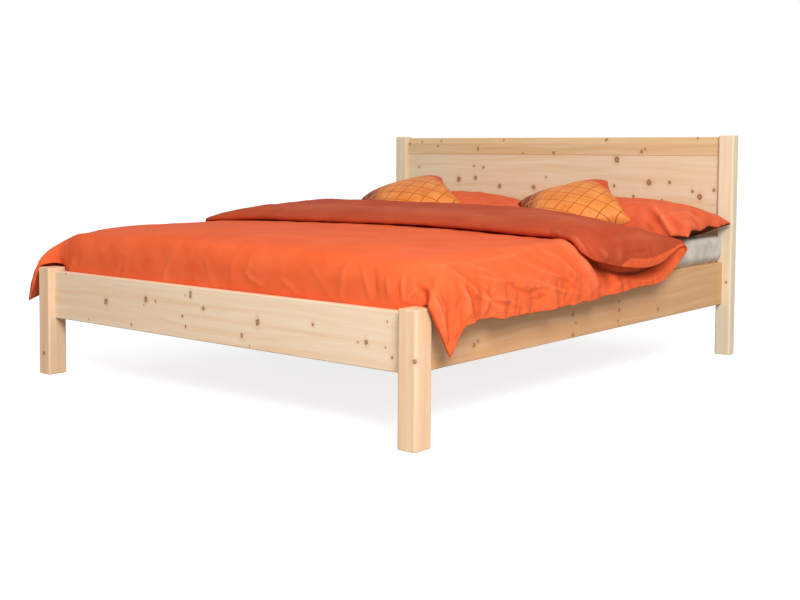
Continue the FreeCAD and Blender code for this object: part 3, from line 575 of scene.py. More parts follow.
@dataclass(frozen=True)
class WovenCotton:
    """Plain woven bedding cotton: flat dyed colour, slubs of thread and a faint sheen.

    Real threads are about 0.3 mm apart, and are drawn coarser to show. The crease marks paint
    shade into the valleys, a dark shadow into the deepest ones and a highlight on the ridges; each
    of these painted colours has the crease marks it runs from and to, and how far it covers the
    cloth at each.
    """

    face: str
    deep: str
    reverse: str = ""
    reverse_deep: str = ""
    # Painted shade in crease valleys, painted dark shadow in the deepest, painted highlight on
    # ridges.
    painted_crease_shading: tuple[tuple[str, float, float, float, float], ...] = (
        ("BE3A12", -1.0, 0.0, 0.42, 0.0), ("3A1006", -2.5, -1.0, 0.9, 0.0),
        ("FF9A70", 0.0, 1.0, 0.0, 0.30))
    thread: float = 0.0016
    crumple_size: float = 0.034
    crumple_depth: float = 0.006
    crumple_bend: float = 0.05
    calm: float = 0.22
    roughness: float = 0.75
    sheen: float = 0.05

    def build(self, name: str) -> Material:
        """Make the cotton, with its reverse colour where the cloth's attribute says so.

        Args:
            name: Name of the material.

        Returns:
            The material.
        """
        graph = NodeGraph(bpy.data.materials.new(name))
        place = graph.add("TexCoord", {}, "Object")
        cloud = graph.add("TexNoise", {"Vector": place, "Scale": 7.0, "Detail": 4.0,
                                       "Roughness": 0.6})
        colour = graph.add("ValToRGB", {0: cloud}, stops=((0.32, self.face), (0.7, self.deep)))
        if self.reverse:
            back = graph.add("Attribute", {}, "Fac", attribute_name="reverse")
            turned = graph.add("ValToRGB", {0: cloud}, stops=(
                (0.32, self.reverse), (0.7, self.reverse_deep)))
            colour = graph.add("Mix", {0: back, 6: colour, 7: turned}, 2, data_type="RGBA")
        # The crease mark paints shade into the creases' valleys, a dark shadow into the deepest
        # ones and a highlight on their ridges.
        crease = graph.add("Attribute", {}, "Fac", attribute_name="crease")
        for tint, low, high, first, last in self.painted_crease_shading:
            share = graph.add("MapRange", {0: crease, 1: low, 2: high, 3: first, 4: last})
            colour = graph.add("Mix", {0: share, 6: colour, 7: srgb(tint)}, 2, data_type="RGBA")
        weave = graph.add("TexVoronoi", {"Vector": place, "Scale": 1 / self.thread})
        return graph.finish({
            "Base Color": colour, "Roughness": self.roughness, "Specular IOR Level": 0.10,
            "Sheen Weight": self.sheen, "Sheen Roughness": 0.4, "Sheen Tint": srgb(self.face),
            "Normal": graph.add("Bump", {"Strength": 0.18, "Distance": 0.0006, "Height": weave,
                                         "Normal": self.crumples(graph, place)})})

    def crumples(self, graph: NodeGraph, place: Socket) -> Socket:
        """Break the cloth into small soft facets, most where its crumple attribute is high.

        Args:
            graph: Nodes of the cotton.
            place: Place on the piece.

        Returns:
            The normal that the facets give.
        """
        bend = graph.add("TexNoise", {"Vector": place, "Scale": 14.0, "Detail": 2.0}, "Color")
        bent = graph.add("VectorMath", {0: bend, 1: [self.crumple_bend] * 3, 2: place},
                         operation="MULTIPLY_ADD")
        facets = graph.add("TexVoronoi", {"Vector": bent, "Scale": 1 / self.crumple_size})
        mark = graph.add("Attribute", {}, "Fac", attribute_name="crumple")
        share = graph.add("MapRange", {0: mark, 3: self.calm, 4: 1.0})
        height = graph.add("Math", {0: facets, 1: share}, operation="MULTIPLY")
        return graph.add("Bump", {"Strength": 0.6, "Distance": self.crumple_depth,
                                  "Height": height})


@dataclass(frozen=True)
class LatticeSatin:
    """Cushion satin: amber cloth with a diamond lattice of darker cord-thin lines.

    A reach holds two places on the cloth's map, in metres, between which a tint sets in. One tint
    is painted shade on one corner, where the lattice lines turn lighter.
    """

    ground: str = "EB9449"
    ground_deep: str = "DB7A32"
    line: str = "BC5212"
    line_in_painted_shade: str = "F0A860"
    edge_warm: str = "D2502A"
    painted_shade_edge: str = "9A3F12"
    cell: float = 0.060
    line_width: float = 0.0034
    warm_reach: Pair = (0.17, 0.25)
    painted_shade_reach: Pair = (0.16, 0.26)
    seam_reach: Pair = (0.186, 0.197)
    roughness: float = 0.45

    def build(self, name: str) -> Material:
        """Make the satin with its lattice, drawn on the cloth's own map.

        Args:
            name: Name of the material.

        Returns:
            The material.
        """
        graph = NodeGraph(bpy.data.materials.new(name))
        cloth = graph.add("UVMap", {}, uv_map="UVMap")
        u, v, _ = graph.add("SeparateXYZ", {0: cloth}).node.outputs
        total, slant = (graph.add("Math", {0: v, 1: u}, operation=kind)
                        for kind in ("ADD", "SUBTRACT"))
        lattice = graph.add("Math", dict(enumerate(self.stripe(graph, value)
                                                   for value in (total, slant))),
                            operation="MAXIMUM")
        cloud = graph.add("TexNoise", {"Vector": graph.add("TexCoord", {}, "Object"),
                                       "Scale": 22.0, "Detail": 3.0})
        # warm tints the red-orange edge cloth and its seam; dark paints shade on one corner, with
        # lighter lines there.
        warm, dark, seam = (graph.add("MapRange", {0: value, 1: reach[0], 2: reach[1]},
                                      interpolation_type="SMOOTHSTEP")
                            for value, reach in ((total, self.warm_reach),
                                                 (slant, self.painted_shade_reach), (v, self.seam_reach)))
        warm = graph.add("Math", {0: warm, 1: seam}, operation="MAXIMUM")
        ground = graph.add("ValToRGB", {0: cloud}, stops=(
            (0.32, self.ground), (0.7, self.ground_deep)))
        thread = graph.add("Mix", {0: dark, 6: srgb(self.line), 7: srgb(self.line_in_painted_shade)}, 2,
                           data_type="RGBA")
        colour = ground
        for share, tint in ((warm, srgb(self.edge_warm)), (dark, srgb(self.painted_shade_edge)),
                            (lattice, thread)):
            colour = graph.add("Mix", {0: share, 6: colour, 7: tint}, 2, data_type="RGBA")
        return graph.finish({
            "Base Color": colour, "Roughness": self.roughness, "Specular IOR Level": 0.12,
            "Normal": graph.add("Bump", {"Strength": 0.5, "Distance": 0.0012,
                                         "Height": lattice})})

    def stripe(self, graph: NodeGraph, value: Socket) -> Socket:
        """Draw a thin line once in each cell of a slanting value.

        Args:
            graph: Nodes of the satin.
            value: Sum or difference of the map's two values, in metres.

        Returns:
            1 on a line and 0 off it.
        """
        cells = graph.add("Math", {0: value, 1: 1 / (self.cell * math.sqrt(2))},
                          operation="MULTIPLY")
        wave = graph.add("Math", {0: cells, 1: 0.5}, operation="PINGPONG")
        half = 0.5 * self.line_width / self.cell
        return graph.add("MapRange", {0: wave, 1: half * 0.6, 2: half * 1.8, 3: 1.0, 4: 0.0})


# Bed frame and slatted base


def dress(nodes: dict[str, Object], names: Iterable[str], material: Material) -> None:
    """Give CAD nodes a material in every slot of their objects.

    Args:
        nodes: The CAD nodes by name.
        names: Names of those to dress.
        material: Their material.
    """
    for name in names:
        if not nodes[name].material_slots:
            nodes[name].data.materials.append(material)
        for holder in nodes[name].material_slots:
            holder.material = material
        LOG.info("dressed %s", name)


@dataclass
class Board:
    """One pine board of the CAD frame and where its knots show.

    The face is the number of the axis it is square to and its place there. Knots have the pixel
    where each shows, and hidden ones their place along, across and through the board.
    """

    node: str
    grain: Grain
    tone: float
    face: tuple[int, float] = (1, 0.0)
    knots: dict[KnotSize, tuple[Pair, ...]] = field(default_factory=dict)
    hidden: dict[KnotSize, tuple[Point, ...]] = field(default_factory=dict)

    def knot_places(self) -> list[Knot]:
        """Turn the knots' pixels to places on the board, and keep those that lie on it.

        Returns:
            Place along, across and through the board and radius of each knot, in metres.
        """
        axes = ["XYZ".index(axis) for axis in self.grain.value]
        low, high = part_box(self.node)
        found = [(*place, size.value) for size, places in self.hidden.items() for place in places]
        for size, pixels in self.knots.items():
            for point in (PHOTO.on_plane(pixel, *self.face) for pixel in pixels):
                if low[axes[1]] - size.value < point[axes[1]] < high[axes[1]] + size.value:
                    found.append((*(float(point[axis]) for axis in axes), size.value))
        return found


@dataclass
class BedFrame:
    """Posts, rails, boards and hidden hardware of the frame, kept from the CAD."""

    wood: StonePine = field(default_factory=StonePine)
    head_wood: StonePine = field(default_factory=lambda: StonePine(
        pale="ECE0C8", middle="E2CAA4", deep="D2AC78"))
    hidden_tone: float = 0.55
    footboard_face: float = -1.030
    foot_post_face: float = -1.056
    rail_face: float = 0.852
    panel_face: float = 1.025
    top_rail_face: float = 1.023
    head_post_face: float = 1.006
    hardware: tuple[str, ...] = (
        "rail_hook_plates", "post_slot_plates", "fitting_screws", "cleat_screws",
        "beam_brackets", "bracket_screws", "leg_plate", "leg_plate_screws", "leg_bolt",
        "leg_insert", "foot_lock_nut")

    def boards(self) -> list[Board]:
        """List the pine boards with their knots.

        Returns:
            The boards.
        """
        tiny, small, middling, large, ring = KnotSize
        across, along, upright = Grain.CROSSWAYS, Grain.LENGTHWAYS, Grain.UPRIGHT
        post, panel = (1, self.foot_post_face), (1, self.panel_face)
        top_knots = {
            small: ((410, 144), (422, 142), (441, 141), (438, 146), (503.3, 140.3), (523, 153.8),
                    (697, 138), (645, 149)),
            middling: ((478, 149), (553.5, 152.8), (606, 139.8), (641.5, 151.5))}
        panel_knots = {
            small: ((419, 167), (474, 166), (546, 177), (662, 200)),
            middling: ((483.3, 167.3), (669.5, 182.5), (692.5, 191.3), (614, 186), (714, 190),
                       (633.3, 196.5)),
            large: ((475.5, 177.8), (499.5, 186), (533.5, 187.3)),
            ring: ((458.8, 179.3), (616.8, 159.8), (649, 182.5), (699.5, 197))}
        foot_knots = {
            tiny: ((144, 305), (185, 295.5), (88.8, 319.5), (65.5, 273.8), (249.3, 346.3),
                   (357.8, 342), (387, 322), (385.3, 347.5)),
            small: ((155.5, 301), (182.5, 316), (185.5, 326.3), (131.3, 324.5), (312.8, 324.8),
                    (392, 357.8)),
            middling: ((190.5, 293.6), (190.3, 296), (203.3, 308), (241.8, 335.5), (366, 342)),
            large: ((106, 301.8), (145.8, 299.3), (257.5, 322.3))}
        rail_knots = {
            small: ((478, 341), (576, 323), (619, 301), (618, 321), (619, 326)),
            middling: ((474, 345), (573, 314), (573, 335), (619, 310), (658, 309))}
        return [
            Board("footboard", across, 0.22, (1, self.footboard_face), foot_knots),
            Board("side_rail_right", along, 0.95, (0, self.rail_face), rail_knots),
            Board("side_rail_left", along, 0.8, hidden={
                middling: ((-0.62, 0.27, 0.0),), large: ((0.35, 0.25, 0.0),),
                small: ((-0.2, 0.33, 0.0), (0.8, 0.31, 0.0))}),
            Board("foot_post_left", upright, 0.45, post, {middling: ((44, 353),)}),
            Board("foot_post_right", upright, 0.45, post, {middling: ((414.5, 361.8),)}),
            Board("head_post_left", upright, 0.3, hidden={
                small: ((0.55, -0.86, self.head_post_face),)}),
            Board("head_post_right", upright, 0.24, hidden={
                small: ((0.3, 0.87, self.head_post_face),)}),
            Board("headboard_top_rail", across, 0.80, (1, self.top_rail_face), top_knots),
            Board("headboard_board_upper", across, 0.42, panel, panel_knots),
            Board("headboard_board_middle", across, 0.45, panel, panel_knots, {
                middling: ((-0.4, 0.5, 0.0),), small: ((0.1, 0.46, 0.0),)}),
            Board("headboard_board_lower", across, 0.4, hidden={
                large: ((-0.55, 0.31, 0.0),), small: ((0.05, 0.27, 0.0),),
                middling: ((0.5, 0.35, 0.0),)}),
        ]

    def build(self, nodes: dict[str, Object]) -> None:
        """Dress the frame's CAD nodes, given by name."""
        for seed, board in enumerate(self.boards(), start=1):
            wood = self.head_wood if board.node.startswith("head") else self.wood
            dress(nodes, [board.node], wood.build(f"oiled_pine_{board.node}", board.grain,
                                                  board.knot_places(), seed, board.tone))
        plain = {"cleat_left": Grain.LENGTHWAYS, "cleat_right": Grain.LENGTHWAYS,
                 "centre_beam": Grain.LENGTHWAYS, "centre_leg": Grain.UPRIGHT}
        for seed, (name, grain) in enumerate(plain.items(), start=20):
            dress(nodes, [name], self.wood.build(f"planed_pine_{name}", grain, (), seed,
                                                 self.hidden_tone))
        dress(nodes, ["headboard_tongues"], SteamedBeech().build("beech_tongues"))
        dress(nodes, self.hardware, ZincPlate().build("zinc_plate"))
        dress(nodes, ["levelling_foot"], MouldedPolymer().build("moulded_foot"))


@dataclass
class SlattedBase:
    """The loose base of spring slats, kept from the CAD."""

    wood: StonePine = field(default_factory=StonePine)
    rubber: MouldedPolymer = field(default_factory=lambda: MouldedPolymer("18181A", 0.002, 0.7))
    tone: float = 0.5

    def build(self, nodes: dict[str, Object]) -> None:
        """Dress the base's CAD nodes, given by name."""
        members = {"base_side_members": Grain.LENGTHWAYS, "base_centre_member": Grain.LENGTHWAYS,
                   "base_end_bars": Grain.CROSSWAYS}
        for seed, (name, grain) in enumerate(members.items(), start=30):
            dress(nodes, [name], self.wood.build(f"planed_pine_{name}", grain, (), seed,
                                                 self.tone))
        dress(nodes, ("base_slats", "base_dowels"), SteamedBeech().build("moulded_beech"))
        dress(nodes, ("base_side_caps", "base_centre_caps"), self.rubber.build("cap_rubber"))


# Helpers for the bedding


def mesh_piece(name: str, points: Array, faces: Sequence[Sequence[int]]) -> Object:
    """Make an object from points and faces.

    Args:
        name: Name of the piece.
        points: Points in metres.
        faces: Point numbers of each face.

    Returns:
        The new object, at the origin and shaded smooth.
    """
    mesh = bpy.data.meshes.new(name)
    mesh.from_pydata(points.tolist(), [], faces)
    mesh.update()
    obj = bpy.data.objects.new(name, mesh)
    bpy.context.scene.collection.objects.link(obj)
    shade_smooth(obj)
    return obj


def panel_faces(panel: Array, turned: bool) -> list[list[int]]:
    """Return the faces of a grid of point numbers, wound the other way where it is turned."""
    a, b, c, d = (part.ravel() for part in (panel[:-1, :-1], panel[1:, :-1], panel[1:, 1:],
                                            panel[:-1, 1:]))
    return np.stack((a, d, c, b) if turned else (a, b, c, d), 1).tolist()


def mark_points(obj: Object, marks: dict[str, Array]) -> None:
    """Give a piece's points the values of named attributes, which its material reads."""
    for mark, values in marks.items():
        layer = obj.data.attributes.new(mark, "FLOAT", "POINT")
        layer.data.foreach_set("value", values.astype(np.float32))


def hand_over(obj: Object, material: Material, body: str) -> Object:
    """Finish a padded piece that stands for the CAD node of its body.

    Args:
        obj: The piece.
        material: Its material.
        body: Name of its body and node.

    Returns:
        The piece.
    """
    obj.data.materials.append(material)
    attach(obj, body)
    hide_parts(body)
    LOG.info("made %s", obj.name)
    return obj


def subdivide(obj: Object) -> None:
    """Apply one subdivision surface to a finished soft piece."""
    modifier = obj.modifiers.new("subdivision", "SUBSURF")
    modifier.levels = modifier.render_levels = 1
    activate(obj)
    bpy.ops.object.modifier_apply(modifier="subdivision")


def rest_on(height: Array, level: float, softness: float) -> Array:
    """Flatten heights softly on a level that they may not pass.

    Args:
        height: Heights in metres.
        level: Level that the piece rests on.
        softness: Height over which it eases on to the level.

    Returns:
        Heights of which none is below the level.
    """
    over = height - level
    return level + np.where(over > softness, over, softness * np.exp(
        np.minimum(over / softness - 1, 0)))


def press_clear(points: Array, other: Object, gap: float = 0.002) -> Array:
    """Push points that are inside a neighbour out to just above its surface.

    Args:
        points: Points in metres.
        other: Closed neighbour.
        gap: Room to leave, in metres.

    Returns:
        The points, none of them inside the neighbour.
    """
    tree = BVHTree.FromPolygons([v.co.copy() for v in other.data.vertices],
                                [tuple(p.vertices) for p in other.data.polygons])
    moved = points.copy()
    reach = 0.3
    for number, point in enumerate(points):
        place, normal, _, distance = tree.find_nearest(Vector(point), reach)
        if place is not None and ((Vector(point) - place).dot(normal) < 0 or distance < gap):
            moved[number] = place + normal * gap
    return moved


@dataclass(frozen=True)
class Crease:
    """A crease that the photograph shows, as a line of its pixels."""

    width: float
    lift: float
    path: Sequence[Pair]

    def profile(self, pixels: Array) -> Array:
        """Work out the crease's lift, tapered towards its ends.

        Args:
            pixels: Column and row of each point.

        Returns:
            The lift at each, in metres, below zero in a valley.
        """
        line = np.array(self.path)
        steps = np.diff(line, axis=0)
        lengths = np.linalg.norm(steps, axis=1)
        starts = np.concatenate(([0.0], np.cumsum(lengths)))
        nearest = np.full(len(pixels), np.inf)
        along = np.zeros(len(pixels))
        for start, step, length, before in zip(line, steps, lengths, starts):
            share = np.clip((pixels - start) @ step / length ** 2, 0, 1)
            gap = np.linalg.norm(pixels - start - share[:, None] * step, axis=1)
            along = np.where(gap < nearest, (before + share * length) / starts[-1], along)
            nearest = np.minimum(gap, nearest)
        taper = np.sin(np.pi * np.clip(along, 0.02, 0.98)) ** 0.6
        return self.lift * taper * np.exp(-(nearest / self.width) ** 2)


def crease_rows(*rows: tuple) -> tuple[Crease, ...]:
    """Make creases from rows of a width in pixels, a lift in mm and the path's pixels."""
    return tuple(Crease(width, lift / MM_IN_M, path) for width, lift, *path in rows)


def press_creases(surface: Array, outward: Array, creases: Iterable[Crease],
                  allowed: Array) -> Array:
    """Press creases into the part of a surface that the photograph shows.

    Args:
        surface: Points in metres.
        outward: Direction out of the cloth at each.
        creases: The creases.
        allowed: Whether each point may move.

    Returns:
        How far each point moves outwards, in metres.
    """
    seen = allowed & (((np.array(PHOTO.place) - surface) * outward).sum(1) > 0)
    pixels = PHOTO.pixels(surface)
    lift = np.zeros(len(surface))
    for crease in creases:
        line, room = np.array(crease.path), 3 * crease.width
        near = seen & np.all((pixels > line.min(0) - room) & (pixels < line.max(0) + room), axis=1)
        lift[near] += crease.profile(pixels[near])
    return lift


@dataclass(frozen=True)
class Inflation:
    """Settings of a cloth simulation that fills out a sewn case."""

    slack: float
    pressure: float = 6.0
    frames: int = 24
    cap: float = 0.008
    stiffness: float = 15.0
    bending: float = 0.5
    mass: float = 0.3
    quality: int = 5

    def run(self, obj: Object) -> None:
        """Simulate the piece and keep the result in its mesh.

        Args:
            obj: The piece, with its mesh in place.
        """
        scene = bpy.context.scene
        before = coordinates(obj.data)
        modifier = obj.modifiers.new("filling", "CLOTH")
        cloth = modifier.settings
        cloth.quality = self.quality
        cloth.mass = self.mass
        cloth.tension_stiffness = cloth.compression_stiffness = self.stiffness
        cloth.shear_stiffness = self.stiffness / 3
        cloth.bending_stiffness = self.bending
        cloth.use_pressure = True
        cloth.uniform_pressure_force = self.pressure
        cloth.effector_weights.gravity = 0.0
        cloth.shrink_min = -self.slack
        modifier.collision_settings.use_collision = False
        modifier.point_cache.frame_start = 1
        modifier.point_cache.frame_end = self.frames
        for number in range(1, self.frames + 1):
            scene.frame_set(number)
        graph = bpy.context.evaluated_depsgraph_get()
        step = coordinates(obj.evaluated_get(graph).data) - before
        obj.modifiers.remove(modifier)
        scene.frame_set(1)
        length = np.maximum(np.linalg.norm(step, axis=1, keepdims=True), 1e-9)
        limit = self.cap * np.tanh(length / self.cap) / length
        move_vertices(obj.data, before + step * limit)


@dataclass
class PillowCase:
    """A sewn case of two panels, filled, with pinched corners."""

    width: float
    depth: float
    rise: float
    sink: float
    spacing: float = 0.009
    fullness: float = 0.42
    draw_in: float = 0.035
    flange: float = 0.0

    def build(self, name: str) -> Object:
        """Make the case round the origin, seam in the level plane.

        Args:
            name: Name of the piece.

        Returns:
            The case's object, with its flat map in metres.
        """
        across, deep = (np.linspace(-1, 1, round(size / self.spacing) + 1)
                        for size in (self.width, self.depth))
        u, v = np.meshgrid(across, deep, indexing="ij")
        dome = (np.clip(1 - u ** 2, 0, 1) * np.clip(1 - v ** 2, 0, 1)) ** self.fullness
        inset = np.minimum((1 - np.abs(u)) * self.width, (1 - np.abs(v)) * self.depth) / 2
        belly = smooth_step(inset, 0.0, self.flange) ** 1.2 if self.flange else dome
        pull_u = 1 - self.draw_in * (1 - v ** 2) * np.abs(u) ** 3
        pull_v = 1 - self.draw_in * 1.6 * (1 - u ** 2) * np.abs(v) ** 3
        x, y = u * pull_u * self.width / 2, v * pull_v * self.depth / 2
        inner = (np.abs(u) < 1) & (np.abs(v) < 1)
        bottom = np.stack((x, y, -belly * self.sink), -1)[inner]
        upper = np.arange(u.size).reshape(u.shape)
        lower = upper.copy()
        lower[inner] = u.size + np.arange(inner.sum())
        points = np.concatenate((np.stack((x, y, dome * self.rise), -1).reshape(-1, 3), bottom))
        obj = mesh_piece(name, points, panel_faces(upper, False) + panel_faces(lower, True))
        flat = np.stack((u * self.width / 2, v * self.depth / 2), -1)
        self.add_map(obj, np.concatenate((flat.reshape(-1, 2), flat[inner])))
        return obj

    @staticmethod
    def add_map(obj: Object, flat: Array) -> None:
        """Give a piece a UV map that holds each point's place on the flat cloth.

        Args:
            obj: The piece.
            flat: Place of each point on the cloth, in metres.
        """
        layer = obj.data.uv_layers.new(name="UVMap")
        corners = np.empty(len(obj.data.loops), dtype=np.int32)
        obj.data.loops.foreach_get("vertex_index", corners)
        layer.uv.foreach_set("vector", flat[corners].astype(np.float32).ravel())


@dataclass
class BedPillow:
    """A bed pillow that lies by the headboard and rests flat on the mattress."""

    side: Side
    centre: Point
    case: PillowCase = field(default_factory=lambda: PillowCase(
        0.80, 0.40, 0.104, 0.060, flange=0.20))
    filling: Inflation = field(default_factory=lambda: Inflation(slack=0.02))
    rest_level: float = 0.4880
    seam_places: Floats = (0.58, 0.61, 0.65, 0.70, 0.74, 0.82, 0.90, 0.984)
    seam_lifts: Floats = (-0.034, -0.028, -0.003, -0.004, -0.010, 0.006, -0.002, 0.006)
    front_fall: float = 0.030
    unevenness: float = 0.0016
    crease_depth: float = 0.012
    # Strength of the painted shadow on the underside towards the pillow's end.
    painted_under_shadow: float = 2.6
    creases: tuple[Crease, ...] = crease_rows(
        (3.2, 10, (651, 203), (663, 219), (677, 241)),
        (3.6, -11, (644, 206), (656, 223), (669, 241)),
        (2.2, -5, (660, 209), (672, 220), (680, 233)),
        (1.8, 4, (648, 221), (654, 224), (661, 231)),
        (1.8, -4, (644, 223), (652, 229), (658, 234)),
        (3.0, 4, (672, 212), (690, 214), (712, 222)),
        (2.2, -5, (695, 211), (704, 216), (712, 222)),
        (3.0, 4, (678, 222), (690, 224), (700, 229)))

    def build(self, cotton: Material) -> Object:
        """Make, fill and lay the pillow.

        Args:
            cotton: Material of the pillow's case.

        Returns:
            The finished piece.
        """
        side = self.side.name.lower()
        obj = self.case.build(f"pillow_cover_{side}")
        self.filling.run(obj)
        points = coordinates(obj.data) + np.array(self.centre)
        end = smooth_step(points[:, 0], 0.72, 0.88)
        points[:, 2] += end * np.interp(points[:, 1], self.seam_places, self.seam_lifts)
        front = (1 - smooth_step(points[:, 1], 0.61, 0.68)) * smooth_step(points[:, 0], 0.40, 0.62)
        points[:, 2] -= self.front_fall * front * (1 - end)
        points[:, 2] = rest_on(points[:, 2], self.rest_level, 0.008)
        move_vertices(obj.data, points)
        subdivide(obj)
        self.wrinkle(obj)
        return hand_over(obj, cotton, f"pillow_{side}")

    def wrinkle(self, obj: Object) -> None:
        """Press the pillow's creases into its case and mark them for the cloth, which paints shade
        in the valleys, a highlight on the ridges and a dark shadow on the underside towards the
        end.

        Args:
            obj: The pillow's case, in place.
        """
        points = coordinates(obj.data)
        outward = np.empty(len(points) * 3, dtype=np.float32)
        obj.data.vertices.foreach_get("normal", outward)
        outward = outward.reshape(-1, 3).astype(float)
        over = points[:, 2] - self.rest_level
        lift = press_creases(points, outward, self.creases, over > 0.02)
        lift += self.unevenness * soft_noise(points, 0.07, 21) * (over > 0.012)
        move_vertices(obj.data, points + outward * lift[:, None])
        end = smooth_step(points[:, 0], 0.62, 0.76)
        under = (outward[:, 2] < -0.15) & (over > 0.003)
        # The crease mark paints shade in the valleys and a highlight on the ridges, and the
        # underside towards the end gets a dark painted shadow.
        shade = np.clip(lift / self.crease_depth, -1, 1) - self.painted_under_shadow * end * under
        mark_points(obj, {"crease": shade, "crumple": 0.8 * end})


@dataclass
class ScatterCushion:
    """A square cushion that leans on a bed pillow, turned by its angles in degrees."""

    side: Side
    centre: Point
    yaw: float
    lean: float
    tilt: float = -15.0
    case: PillowCase = field(default_factory=lambda: PillowCase(
        0.41, 0.41, 0.082, 0.060, spacing=0.007, draw_in=0.080))
    filling: Inflation = field(default_factory=lambda: Inflation(slack=0.015))

    def build(self, satin: Material, neighbours: Iterable[Object], level: float) -> Object:
        """Make, fill and place the cushion, pressed against what it leans on.

        Args:
            satin: Material of the cushion's case.
            neighbours: Finished pieces that it may not enter.
            level: Level of the mattress's top.

        Returns:
            The finished piece.
        """
        side = self.side.name.lower()
        obj = self.case.build(f"cushion_cover_{side}")
        self.filling.run(obj)
        turn = (Matrix.Rotation(math.radians(self.yaw), 4, "Z")
                @ Matrix.Rotation(math.radians(self.lean), 4, "X")
                @ Matrix.Rotation(math.radians(self.tilt), 4, "Y"))
        obj.data.transform(Matrix.Translation(self.centre) @ turn)
        points = coordinates(obj.data)
        for other in neighbours:
            points = press_clear(points, other)
        points[:, 2] = rest_on(points[:, 2], level, 0.01)
        move_vertices(obj.data, points)
        subdivide(obj)
        return hand_over(obj, satin, f"cushion_{side}")


